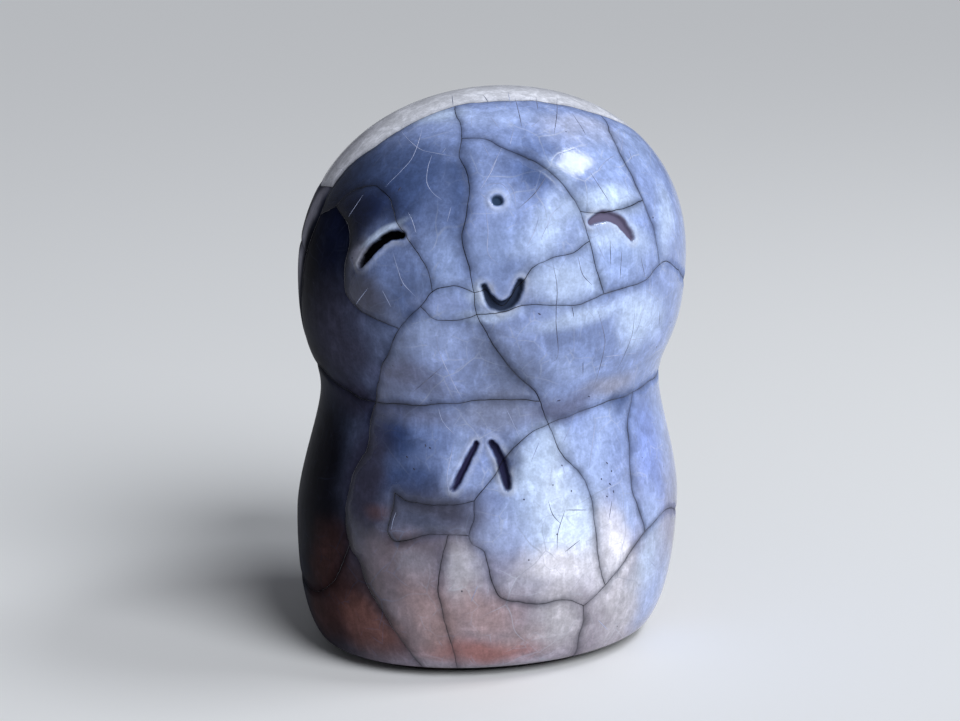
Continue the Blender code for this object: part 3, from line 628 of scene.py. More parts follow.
def crack_line(stops, step):
    """Places along a crack, which wanders a little from its stops, and the directions out of the coat."""
    route = smooth_route(stops, step)
    places = on_coat(route[:, 0], route[:, 1])
    out = outward(route[:, 0], route[:, 1])
    wander = soft_steps(places, CRACK_WANDER)
    wander -= out * np.sum(wander * out, axis=1, keepdims=True)
    return places + wander, out


def crack_wall(name, stops, collection):
    """A thin upright wall along a crack, square to the surface, which cuts the coat."""
    places, out = crack_line(stops, WALL_STEP)
    for end, neighbour in ((0, 1), (-1, -2)):
        lead = places[end] - places[neighbour]
        places[end] += lead / np.linalg.norm(lead) * CRACK_WIDTH * END_OVERRUN
    strip = bmesh.new()
    bottom = [strip.verts.new(place) for place in places - out * CRACK_REACH]
    edges = [strip.edges.new(pair) for pair in zip(bottom, bottom[1:])]
    steps = out * (CRACK_REACH + CUTTER_PROUD)
    rise = {vert.co.to_tuple(KEY_DIGITS): Vector(step) for vert, step in zip(bottom, steps)}
    raised = bmesh.ops.extrude_edge_only(strip, edges=edges)["geom"]
    for vert in [item for item in raised if isinstance(item, bmesh.types.BMVert)]:
        vert.co += rise[vert.co.to_tuple(KEY_DIGITS)]
    bmesh.ops.recalc_face_normals(strip, faces=strip.faces)
    mesh = mesh_from(strip, name)
    wall = bpy.data.objects.new(name, mesh)
    collection.objects.link(wall)
    openness = wall.vertex_groups.new(name="openness")
    ends = (Vector(places[0]), Vector(places[-1]))
    for vert in mesh.vertices:
        at_end = 1.0 - min((vert.co - end).length for end in ends) / (CRACK_END + CRACK_REACH)
        width_share = min(1.0, HALF_OPEN + noise.noise(vert.co * OPENNESS_SCALE))
        openness.add([vert.index], max(at_end, width_share), "REPLACE")
    width = wall.modifiers.new("Width", "SOLIDIFY")
    width.thickness = CRACK_WIDTH
    width.vertex_group = openness.name
    width.thickness_vertex_group = CRACK_THIN_SHARE
    width.offset = 0.0
    wall.modifiers.new("Triangles", "TRIANGULATE")
    return wall


def tree_of_mesh(mesh):
    """A search tree over the faces of a mesh."""
    form = bmesh.new()
    form.from_mesh(mesh)
    tree = BVHTree.FromBMesh(form)
    form.free()
    return tree


def evaluated_mesh(piece, name):
    """The mesh of a piece after its modifiers."""
    bpy.context.view_layer.update()
    depsgraph = bpy.context.evaluated_depsgraph_get()
    mesh = bpy.data.meshes.new_from_object(piece.evaluated_get(depsgraph))
    mesh.name = name
    return mesh


noise.seed_set(WANDER_SEED)
cutters = bpy.data.collections.new("crack_cutters")
bpy.context.scene.collection.children.link(cutters)
walls = [crack_wall("crack_" + name, stops, cutters) for name, stops in CRACKS.items()]

coat_end = station_at(BARE_FOOT_HEIGHT, WIDEST_TORSO, FOOT)
coat_profile = outline_at(spread_stations(CROWN, coat_end, COAT_SPACING))
coat_mesh = turned_form("coat", coat_profile, COAT_STEPS, False)
skin = tree_of_mesh(coat_mesh)
refine_strokes(coat_mesh, COAT_CUTS)
coat = add_piece("coat", coat_mesh)
thickness = coat.modifiers.new("Thickness", "SOLIDIFY")
thickness.thickness = GLAZE_THICKNESS
thickness.offset = -1.0
coat.modifiers.new("Triangles", "TRIANGULATE")
breaking = coat.modifiers.new("Break", "BOOLEAN")
breaking.operation = "DIFFERENCE"
breaking.solver = "EXACT"
breaking.operand_type = "COLLECTION"
breaking.collection = cutters
broken = add_piece("broken_coat", evaluated_mesh(coat, "broken_coat"))
bpy.data.objects.remove(coat, do_unlink=True)
for wall in walls:
    bpy.data.objects.remove(wall, do_unlink=True)
bpy.data.collections.remove(cutters)

bpy.ops.object.select_all(action="DESELECT")
broken.select_set(True)
bpy.context.view_layer.objects.active = broken
bpy.ops.object.mode_set(mode="EDIT")
bpy.ops.mesh.separate(type="LOOSE")
bpy.ops.object.mode_set(mode="OBJECT")
shards = list(bpy.context.selected_objects)


# Each plate gets its own colour from how thickly the glaze lay and how far the smoking drew into it, and
# some washes also paint shade, sheen and highlights. The washes are placed one by one: those in front by a
# pixel of the picture, those behind by azimuth.
FRAME_WIDTH = 960
FRAME_HEIGHT = 721
INK = (0.004, 0.004, 0.008)
NAVY = (0.005, 0.007, 0.022)
MURK = (0.032, 0.030, 0.058)
DIM = (0.048, 0.048, 0.082)
DUSK = (0.100, 0.105, 0.190)
NIGHT = (0.010, 0.020, 0.075)
DEEP = (0.036, 0.066, 0.180)
SHADE = (0.050, 0.047, 0.070)
SLATE = (0.110, 0.135, 0.230)
COBALT = (0.065, 0.105, 0.250)
BLUE = (0.135, 0.190, 0.390)
STEEL = (0.200, 0.265, 0.500)
PERIWINKLE = (0.230, 0.310, 0.680)
LAVENDER = (0.280, 0.355, 0.650)
HAZE = (0.330, 0.430, 0.740)
LILAC = (0.400, 0.500, 0.820)
MILK = (0.570, 0.690, 0.940)
CHALK = (0.820, 0.800, 0.890)
SNOW = (0.660, 0.760, 0.950)
MIST = (0.430, 0.470, 0.660)
FOG = (0.200, 0.225, 0.345)
PEARL = (0.520, 0.495, 0.540)
ASH = (0.340, 0.335, 0.420)
MAUVE = (0.350, 0.265, 0.280)
FLESH = (0.390, 0.262, 0.265)
CLAY_RED = (0.230, 0.135, 0.125)
PLUM = (0.140, 0.105, 0.130)
ROSE = (0.350, 0.132, 0.115)
RUST = (0.150, 0.070, 0.062)
UMBER = (0.040, 0.018, 0.018)
# Each seen wash: pixel across, pixel down, half width and half height in mm, tilt, colour, strength.
SEEN_WASHES = {
    "left_forehead": (388, 168, 8, 6, 30, DEEP, 0.7),
    "left_forehead_low": (405, 195, 7, 5, 20, DEEP, 0.8),
    "left_forehead_far": (350, 180, 4, 7, 30, DEEP, 0.75),
    "left_brow": (432, 168, 6, 5, 0, COBALT, 0.85),
    "left_forehead_top": (432, 115, 6, 2, -15, MILK, 0.8),
    "left_nose": (446, 212, 4, 5, 0, BLUE, 0.75),
    "left_of_mouth": (442, 268, 4, 4.5, 0, HAZE, 0.85),
    # These three washes paint shade on one side of the parting and the brow crack, where the plate rounds
    # down into it.
    "by_the_parting": (460, 190, 1.8, 9, -2, COBALT, 0.75),
    "by_the_parting_low": (465, 262, 1.2, 2.4, 0, STEEL, 0.7),
    "by_the_brow_crack": (565, 222, 1.3, 5, -22, LAVENDER, 0.8),
    "above_left_eye": (366, 207, 5, 4, 0, NIGHT, 0.95),
    # This wash and the next: deep glaze with painted shade on the head's left side, turned from the light.
    "left_of_head": (320, 270, 7, 18, 0, INK, 0.97),
    "left_temple": (336, 235, 5, 8, 0, NAVY, 0.95),
    "below_left_eye": (397, 266, 5, 4, 0, BLUE, 0.8),
    "beside_left_eye": (359, 254, 1.6, 2.2, 25, ASH, 0.5),
    # Deep glaze with painted shade on the left temple.
    "above_left_temple": (348, 222, 3.0, 4.0, 20, NAVY, 0.9),
    "left_cheekbone": (411, 302, 4, 3.5, 0, COBALT, 0.95),
    "left_cheek_rim": (368, 300, 4, 3.5, 20, MURK, 0.8),
    "left_jaw": (342, 345, 7, 8, 0, DIM, 0.9),
    # A painted highlight along the upper lip of the left eye, where the glaze also breaks pale.
    "left_eye_lid": (383, 232, 3.6, 0.55, -33, MILK, 0.85),
    "lens_corner": (438, 305, 4, 1.5, 0, LAVENDER, 0.8),
    "below_the_lens": (461, 319, 3.2, 1.3, 0, STEEL, 0.6),
    "chin_left": (436, 337, 4, 3.5, 0, LILAC, 0.75),
    "chin_far_left": (398, 358, 4, 4, 0, SLATE, 0.6),
    "chin_middle": (455, 365, 4, 5, 0, LAVENDER, 0.7),
    "chin_low": (408, 382, 6, 3, 0, DUSK, 0.8),
    "forehead_top": (477, 152, 4, 2, 0, STEEL, 0.7),
    "forehead_right": (534, 170, 4.5, 3.4, 30, COBALT, 0.85),
    "forehead_left": (475, 220, 2.5, 4, 0, LAVENDER, 0.5),
    "forehead_middle": (500, 250, 4, 4, 0, HAZE, 0.7),
    # Pale glaze, partly a painted soft sheen of the light.
    "forehead_pale": (550, 228, 5.5, 3.2, -50, MILK, 0.7),
    "dot_ring": (498, 198, 2.3, 2.2, 0, LILAC, 0.7),
    "above_mouth": (515, 268, 3.5, 1.5, 0, STEEL, 0.7),
    "left_mouth_corner": (477, 294, 1.4, 1.8, 0, MILK, 0.8),
    "right_mouth_corner": (528, 288, 1.5, 2.6, 20, FOG, 0.5),
    "between_mouth_corners": (499, 284, 2.2, 1.4, 0, STEEL, 0.6),
    "brow_plate_top": (500, 116, 7, 2, 0, LILAC, 0.75),
    "brow_plate_blue": (537, 146, 5, 2.5, 20, BLUE, 0.8),
    # Pale glaze, partly a painted soft sheen of the light.
    "brow_plate_pale": (585, 128, 7, 3, 20, MIST, 0.85),
    "brow_plate_right": (612, 160, 4, 5, 40, HAZE, 0.6),
    "brow_plate_low": (585, 193, 4, 2.0, 30, STEEL, 0.7),
    "brow_plate_milky": (562, 174, 1.6, 3, -30, MILK, 0.4),
    "above_right_eye": (608, 203, 6, 2.2, 0, MILK, 0.95),
    # Pale glaze, partly a painted soft sheen of the light.
    "below_right_eye": (618, 243, 5.5, 3.0, 10, MILK, 0.95),
    "right_temple_top": (640, 150, 3, 5, 30, HAZE, 0.7),
    # Pale glaze, partly a painted soft sheen of the light.
    "right_temple": (667, 222, 3, 5, 20, MILK, 0.8),
    "right_temple_low": (674, 248, 3, 3.0, 0, LAVENDER, 0.6),
    "right_eyelid": (612, 267, 5, 3.5, 0, HAZE, 0.95),
    "right_cheek": (565, 285, 5, 3.5, 0, MILK, 0.75),
    "right_jowl_left": (530, 335, 4, 3, 20, LAVENDER, 0.6),
    "right_jowl_middle": (572, 334, 6, 2.2, 0, STEEL, 0.85),
    # Pale glaze, partly a painted soft sheen of the light.
    "right_jowl_right": (642, 318, 5, 4, 40, MILK, 0.9),
    "right_jowl_milky": (578, 365, 4, 2.5, 0, LILAC, 0.7),
    "right_jowl_low": (612, 385, 5, 2.0, 0, ASH, 0.7),
    "chin_under_mouth": (490, 338, 3.6, 3.4, 30, SLATE, 0.65),
    "below_the_mouth": (492, 315, 4, 1.0, -5, MILK, 0.7),
    "chin_by_the_jowl": (512, 374, 6.5, 4.5, 40, SLATE, 0.75),
    "right_jowl_blue": (592, 352, 4, 2.5, 0, STEEL, 0.85),
    "right_jowl_top": (582, 317, 7, 1.3, -8, MILK, 0.7),
    # The next five washes paint the shade in the crease under the head and the chin.
    "neck_left": (365, 405, 7, 3, 5, MURK, 0.9),
    "neck_middle": (415, 414, 6, 1.6, 0, DUSK, 0.7),
    "neck_right": (560, 407, 5.5, 2.0, -10, DUSK, 0.8),
    "neck_far_right": (615, 408, 5, 2.2, -25, COBALT, 0.85),
    "under_chin": (497, 414, 6, 3.4, 0, FOG, 0.8),
    "left_sleeve": (398, 440, 5, 4, 0, DEEP, 0.95),
    "left_sleeve_low": (408, 482, 6, 3, 0, DEEP, 0.9),
    "left_sleeve_deep": (390, 430, 3.6, 2.4, 0, NIGHT, 0.6),
    "left_sleeve_light": (428, 440, 3, 3.5, 0, BLUE, 0.6),
    "left_sleeve_dark": (368, 465, 4, 7, 0, MURK, 0.9),
    "hands": (473, 466, 2.6, 4.5, 20, LAVENDER, 0.75),
    "hands_pale": (474, 480, 2.2, 1.8, 0, LILAC, 0.35),
    "hands_left": (455, 462, 1.2, 5, 20, LILAC, 0.6),
    # Pale glaze, partly a painted soft sheen of the light.
    "belly_top": (535, 472, 4.5, 5, 20, MILK, 0.95),
    "belly_blue": (511, 507, 4, 2.2, 10, STEEL, 0.6),
    "belly_middle": (543, 526, 4, 4.5, 0, MILK, 0.8),
    "belly_left": (507, 536, 3.5, 3, 0, LILAC, 0.6),
    "belly_shoulder": (553, 440, 3, 3, 0, MILK, 0.8),
    "belly_right": (575, 508, 5, 8, 0, SNOW, 0.95),
    # This wash and the next paint a soft shadow beside the right hand's stroke.
    "beside_right_hand": (514, 457, 1.3, 3.2, -15, SLATE, 0.7),
    "right_hand_painted_shadow": (507, 470, 1.5, 2.8, -15, NIGHT, 0.85),
    "belly_low": (562, 568, 6, 4, 0, CHALK, 1.0),
    "belly_low_left": (522, 590, 4.5, 2.2, 10, ASH, 0.7),
    "right_breast": (594, 455, 4, 7, 20, LILAC, 0.9),
    "right_breast_middle": (628, 510, 2.5, 5, 0, LILAC, 0.8),
    "right_breast_low": (610, 556, 3.5, 7, 0, CHALK, 0.95),
    "right_flank_top": (643, 412, 3, 4, 0, BLUE, 0.8),
    "right_flank": (650, 455, 3.5, 8, 0, PERIWINKLE, 0.85),
    "right_flank_low": (651, 512, 3, 4, 0, LILAC, 0.8),
    "right_skirt_top": (646, 570, 4, 6, 30, MILK, 0.75),
    "right_skirt": (622, 608, 5, 5, 0, PEARL, 0.85),
    "right_skirt_blue": (648, 600, 3, 4, 30, LILAC, 0.7),
    "right_skirt_rim": (660, 588, 5, 7, 0, LILAC, 0.75),
    "girdle": (434, 514, 8, 4.0, 3, SHADE, 0.9),
    "girdle_blue": (420, 520, 3.5, 1.4, 10, SLATE, 0.4),
    "left_front": (367, 514, 4, 7, 0, MURK, 0.9),
    "left_front_red": (380, 512, 2.4, 1.2, 0, RUST, 0.4),
    "under_girdle": (405, 548, 6, 2.5, 0, PLUM, 0.85),
    "under_girdle_right": (454, 548, 3, 2, 0, PLUM, 0.6),
    "left_front_mauve": (398, 575, 6, 5, 0, PLUM, 0.9),
    "left_front_grey": (414, 567, 2.5, 2.5, 0, ASH, 0.45),
    "left_front_rosy": (426, 614, 4, 6, 0, FLESH, 0.8),
    "left_front_brown": (446, 640, 3, 3.5, 0, CLAY_RED, 0.6),
    "left_front_low": (398, 636, 4, 4, 0, PLUM, 0.7),
    "left_skirt_light": (368, 612, 3, 3, 0, PLUM, 0.5),
    # Deep umber glaze with painted shade at the lower left.
    "left_skirt": (350, 600, 6, 6, 0, UMBER, 0.9),
    "left_skirt_red": (365, 627, 6.5, 3.8, 15, RUST, 0.85),
    "front_skirt_top": (463, 576, 3, 5, 0, PEARL, 0.75),
    "front_skirt_mauve": (484, 616, 6, 4, 0, FLESH, 0.8),
    "front_skirt_rose": (490, 653, 8, 2.2, 0, ROSE, 0.85),
    "front_skirt_right": (525, 636, 4, 2, -20, MAUVE, 0.7),
    "front_skirt_grey": (562, 620, 4, 5, 0, PEARL, 0.9),
    # These three washes: deep glaze with painted shade down the figure's left outline.
    "left_flank": (322, 480, 7, 15, 0, INK, 0.97),
    "left_flank_low": (328, 565, 5, 6, 0, UMBER, 0.9),
    "left_hem": (322, 612, 5, 4, 0, UMBER, 0.9),
    # A painted reflection along the head's left outline, over pale glaze.
    "left_edge_of_head": (309, 220, 1.8, 9, 12, ASH, 0.8),
}
# Each hidden wash: azimuth, station, half width and half height in mm, tilt, colour, strength.
HIDDEN_WASHES = {
    "behind_left_temple": (-118, 0.95, 9, 12, 0, COBALT, 0.8),
    "behind_left_flank": (-118, 2.6, 9, 12, 0, DUSK, 0.8),
    "back_of_head": (175, 0.8, 14, 9, 15, LAVENDER, 0.7),
    "back_of_head_pale": (150, 0.95, 9, 7, -20, MILK, 0.5),
    "back_of_head_deep": (215, 0.9, 10, 8, 25, COBALT, 0.6),
    "nape": (180, 1.7, 16, 3, 0, DUSK, 0.5),
    "right_of_head": (110, 0.9, 8, 10, 0, MILK, 0.5),
    "back_shoulder": (165, 2.3, 12, 6, 10, BLUE, 0.6),
    "back_middle": (200, 2.7, 9, 6, -15, LILAC, 0.5),
    "right_of_back": (125, 2.6, 7, 9, 0, MILK, 0.5),
    "back_skirt": (190, 3.3, 14, 5, 0, MAUVE, 0.7),
    "back_hem": (175, 3.7, 12, 2.5, 0, ROSE, 0.6),
    "left_rear_hem": (245, 3.5, 9, 5, 0, UMBER, 0.5),
    "right_rear_hem": (120, 3.5, 8, 4, 0, ASH, 0.6),
    "crown_back": (190, 0.42, 12, 5, 10, HAZE, 0.6),
    "crown_back_deep": (225, 0.45, 6, 4, 20, STEEL, 0.6),
    "crown_left": (-85, 0.55, 5, 7, 0, ASH, 0.7),
    "crown_right": (120, 0.40, 7, 5, 0, MILK, 0.5),
}
WASH_DEPTH = 14.0 * MM
WANDERING_SIZE = 3.5
WASH_FADE = 6.0 * MM
CRACK_VIEW_REACH = 5.0 * MM
UPPER_BASE = np.array((0.27, 0.35, 0.64))
LOWER_BASE = np.array((0.31, 0.27, 0.33))
# The figure's left side darkens towards this colour: deep cobalt glaze with painted shade of the side turned
# from the light.
LEFT_GLAZE_AND_SHADE = np.array((0.010, 0.011, 0.022))
CROWN_BASE = np.array((0.80, 0.81, 0.90))
LOW_HEIGHTS = (0.10, 0.42)
LEFT_REACH = (8.0 * MM, 25.0 * MM)
WASH_EDGE = (0.25, 1.5)
WASH_WANDER = ((170.0, 1.6), (600.0, 0.55))
CRACK_MAP_STEP = 0.004
TOP_DEPTH = 0.05 * MM
STROKE_VIEW = (-3.0 * MM, 5.0 * MM)
PLATE_SHARP_ANGLE = math.radians(50)


def seen_place(across, down):
    """Where the ray through a pixel meets the coat, and the direction out of the coat there."""
    pixel_size = camera_data.sensor_width * MM / FRAME_WIDTH
    ray = Vector(((across - FRAME_WIDTH / 2) * pixel_size, (FRAME_HEIGHT / 2 - down) * pixel_size,
                  -camera_data.lens * MM))
    ray = camera.rotation_euler.to_matrix() @ ray.normalized()
    place, out, _, _ = skin.ray_cast(camera.location, ray)
    return place, out


def coat_place(azimuth, station):
    """A place on the coat behind, and the direction out of the coat there."""
    return Vector(on_coat([azimuth], [station])[0]), Vector(outward([azimuth], [station])[0])


def wash_colours(points, crown):
    """The glaze colour at each point of a plate, with the painted shade and sheen that some washes lay on it.
    The crown plate takes only the washes behind.
    """
    moved = points + soft_steps(points, WASH_WANDER)
    if crown:
        washes = hidden_washes
        colours = np.tile(CROWN_BASE, (len(points), 1))
    else:
        washes = hidden_washes + seen_washes
        low = (1.0 - ease(moved[:, 2] / HEIGHT, *LOW_HEIGHTS))[:, None]
        # Darken the left side, turned from the light: deep glaze with painted shade.
        left = ease(-moved[:, 0], *LEFT_REACH)[:, None]
        colours = UPPER_BASE * (1 - low) + LOWER_BASE * low
        colours = colours * (1 - left) + LEFT_GLAZE_AND_SHADE * left
    for place, out, half_width, half_height, tilt, colour, strength in washes:
        across = Vector((0, 0, 1)).cross(out).normalized()
        down = across.cross(out)
        turn = math.radians(tilt)
        side = across * math.cos(turn) + down * math.sin(turn)
        drop = down * math.cos(turn) - across * math.sin(turn)
        wander = min(1.0, min(half_width, half_height) / WANDERING_SIZE)
        offset = points + (moved - points) * wander - np.array(place)
        reach = np.hypot(offset @ np.array(side) / (half_width * MM),
                         offset @ np.array(drop) / (half_height * MM))
        depth = np.abs(offset @ np.array(out))
        share = strength * (1 - ease(reach, *WASH_EDGE))
        share = share * (1 - ease(depth, WASH_DEPTH, WASH_DEPTH + WASH_FADE))
        colours = colours * (1 - share[:, None]) + np.array(colour) * share[:, None]
    return colours


seen_washes = [(*seen_place(across, down), *rest) for across, down, *rest in SEEN_WASHES.values()]
hidden_washes = [(*coat_place(azimuth, station), *rest) for azimuth, station, *rest in HIDDEN_WASHES.values()]
crack_tree = tree_of([place for stops in CRACKS.values() for place in crack_line(stops, CRACK_MAP_STEP)[0]])
plate_places = {name: Vector(on_coat([azimuth], [station])[0]) for name, (azimuth, station) in PLATES.items()}


def divide_top(mesh):
    """Divide the outer faces of a plate once, so that its colours and hollows come out finely."""
    form = bmesh.new()
    form.from_mesh(mesh)
    for vert in form.verts:
        vert.tag = skin.find_nearest(vert.co)[3] < TOP_DEPTH
    top_edges = [edge for edge in form.edges if edge.verts[0].tag and edge.verts[1].tag]
    bmesh.ops.subdivide_edges(form, edges=top_edges, cuts=1, use_grid_fill=True)
    bmesh.ops.triangulate(form, faces=form.faces)
    form.to_mesh(mesh)
    form.free()
    mesh.update()


def rounded_sink(points, crack):
    """How far the outer face of a plate rounds down towards its cracks and towards the foot."""
    to_crack = CRACK_SINK * np.maximum(0.0, 1 - crack / CRACK_SOFTNESS) ** 2
    to_foot = FOOT_ROLL * (1 - ease(points[:, 2], BARE_FOOT_HEIGHT, BARE_FOOT_HEIGHT + FOOT_ROLL_HEIGHT))
    return np.maximum(to_crack, to_foot)


def write_attribute(mesh, name, values):
    """Store one number or one colour for each point of a mesh."""
    kind, field = "FLOAT", "value"
    if values.ndim == 2:
        kind, field = "FLOAT_COLOR", "color"
        values = np.column_stack((values, np.ones(len(values))))
    mesh.attributes.new(name, kind, "POINT").data.foreach_set(field, values.ravel())


def finish_plate(shard, glaze, ink_glaze, rim):
    """Sink a plate at its cracks and pressed strokes, and give it its colours and shading."""
    mesh = shard.data
    divide_top(mesh)
    points = at_vertices(mesh)
    found = [skin.find_nearest(Vector(point)) for point in points]
    out = np.array([hit[1] for hit in found])
    depth = np.array([hit[3] for hit in found])
    on_top = depth < TOP_DEPTH
    crack, _ = distances(crack_tree, points)
    edge, which = from_stroke_edge(np.array([hit[0] for hit in found]))
    sink = stroke_sink(edge, which) + rounded_sink(points, crack) * on_top
    write_attribute(mesh, "wash", wash_colours(points, shard.name == "plate_crown"))
    write_attribute(mesh, "ink", stroke_inks[which])
    write_attribute(mesh, "crack", np.minimum(crack, CRACK_VIEW_REACH) / MM)
    write_attribute(mesh, "stroke", np.clip(edge, *STROKE_VIEW) / MM)
    set_points(mesh, points - out * sink[:, None])
    mesh.materials.clear()
    for material in (glaze, rim, ink_glaze):
        mesh.materials.append(material)
    corners = np.empty(len(mesh.loops), dtype=int)
    mesh.loops.foreach_get("vertex_index", corners)
    starts = np.empty(len(mesh.polygons), dtype=int)
    mesh.polygons.foreach_get("loop_start", starts)
    below = np.maximum.reduceat(depth[corners], starts) > TOP_DEPTH
    in_stroke = np.maximum.reduceat(edge[corners], starts) < 0.0
    mesh.polygons.foreach_set("material_index", np.where(below, 1, np.where(in_stroke, 2, 0)))
    mesh.shade_smooth()
    mesh.set_sharp_from_angle(angle=PLATE_SHARP_ANGLE)


def feed(graph, socket, value):
    """Set a socket from another socket, a colour or a number."""
    if isinstance(value, bpy.types.NodeSocket):
        graph.links.new(value, socket)
    elif isinstance(value, tuple):
        socket.default_value = (*value, 1.0)
    else:
        socket.default_value = value


def mix(graph, factor, first, second, kind="MIX"):
    """A mix of two colours."""
    node = graph.nodes.new("ShaderNodeMix")
    node.data_type = "RGBA"
    node.blend_type = kind
    for index, value in ((0, factor), (6, first), (7, second)):
        feed(graph, node.inputs[index], value)
    return node.outputs[2]


def remap(graph, value, start, end, low, high):
    """A value carried smoothly from one range to another."""
    node = graph.nodes.new("ShaderNodeMapRange")
    node.interpolation_type = "SMOOTHSTEP"
    for index, number in enumerate((start, end, low, high), 1):
        node.inputs[index].default_value = number
    graph.links.new(value, node.inputs["Value"])
    return node.outputs["Result"]


def arithmetic(graph, operation, first, second):
    node = graph.nodes.new("ShaderNodeMath")
    node.operation = operation
    for socket, value in zip(node.inputs, (first, second)):
        feed(graph, socket, value)
    return node.outputs["Value"]


def product(graph, first, *others):
    """Values multiplied together."""
    for other in others:
        first = arithmetic(graph, "MULTIPLY", first, other)
    return first


def attribute(graph, name, output):
    node = graph.nodes.new("ShaderNodeAttribute")
    node.attribute_name = name
    return node.outputs[output]


def voronoi(graph, scale, place, feature="F1"):
    """The distances of a cell pattern."""
    cells = graph.nodes.new("ShaderNodeTexVoronoi")
    cells.feature = feature
    cells.inputs["Scale"].default_value = scale
    graph.links.new(place, cells.inputs["Vector"])
    return cells.outputs["Distance"]


# Each noise in the glaze: scale, detail, warp.
GLAZE_NOISES = {
    "fine": (900.0, 5.0, 0.4),
    "cloud": (260.0, 6.0, 0.9),
    "veil": (190.0, 8.0, 1.8),
    "edge": (420.0, 3.0, 0.0),
    "gate": (95.0, 2.0, 0.0),
    "grain": (3200.0, 3.0, 0.0),
    "pore": (190.0, 2.0, 0.0),
    "swell": (170.0, 2.0, 0.0),
    "skin": (700.0, 4.0, 0.0),
}
# How each noise lightens and darkens the wash: from, to, low, high.
TONES = {
    "fine": (0.3, 0.7, 0.88, 1.10),
    "cloud": (0.3, 0.7, 0.91, 1.09),
    "grain": (0.3, 0.7, 0.92, 1.08),
    "veil": (0.50, 0.66, 0.95, 1.16),
    "streaks": (0.50, 0.68, 0.98, 1.11),
}
# The other ranges of the glaze, each from, to, low, high.
SPANS = {
    "smoke_and_shade_edge": (0.3, 0.7, 1.4, 0.7),
    "smoke_and_shade_gate": (0.35, 0.65, 0.65, 1.10),
    "rim_edge": (0.3, 0.7, -0.12, 0.12),
    "rim_gate": (0.35, 0.65, 0.3, 1.2),
    "rim_light": (0.08, 0.20, 0.0, 1.0),
    "ink": (-0.20, 0.30, 1.0, 0.0),
    "pore": (0.03, 0.08, 1.0, 0.0),
    "pore_gate": (0.56, 0.60, 0.0, 0.9),
}
STREAK_TURN = (0.0, math.radians(24), math.radians(10))
STREAK_STRETCH = (1.0, 1.0, 0.16)
STREAK_NOISE = (1500.0, 3.0, 0.0)
NET_WANDER_NOISE = (150.0, 1.0, 0.0)
NET_WANDER = (0.003, 0.003, 0.003)
# Each net of hair crazes: scale, width at full strength, width where it ends, gate, strength.
CRAZE_NETS = ((110.0, 0.002, 0.012, "gate", 0.36), (300.0, 0.004, 0.030, "cloud", 0.26))
NET_GATE = (0.46, 0.62)
NET_STOPS = [(0.02, (0.02, 0.025, 0.05)), (0.12, (0.15, 0.19, 0.33)), (0.30, (0.50, 0.54, 0.66)),
             (0.40, (0.64, 0.68, 0.78)), (0.47, (0.24, 0.26, 0.34))]
# The glaze darkens along each crack: soot stain, together with painted shade of the crack's rounded valley.
SMOKE_AND_SHADE_REACH = 0.4
SMOKE_AND_SHADE_STOPS = [(0.0, 0.88), (0.06, 0.70), (0.12, 0.56), (0.22, 0.38), (0.36, 0.19), (0.64, 0.0)]
SMOKE_AND_SHADE_TINT = (0.20, 0.21, 0.24)
RIM_REACH = 0.5
RIM_STOPS = [(0.06, 0.0), (0.17, 0.34), (0.30, 0.20), (0.60, 0.0)]
RIM_TINT = (0.72, 0.76, 0.88)
PORE_SCALE = 420.0
PORE_TINT = (0.03, 0.03, 0.05)
DULLED = (0.04, 0.30)
DULL_ROUGHNESS = 0.65
# Each bump of the glaze: distance, strength.
SWELL_BUMP = (0.16 * MM, 0.5)
SKIN_BUMP = (0.04 * MM, 0.6)
HOLLOW_BUMP = (-0.02 * MM, 0.6)


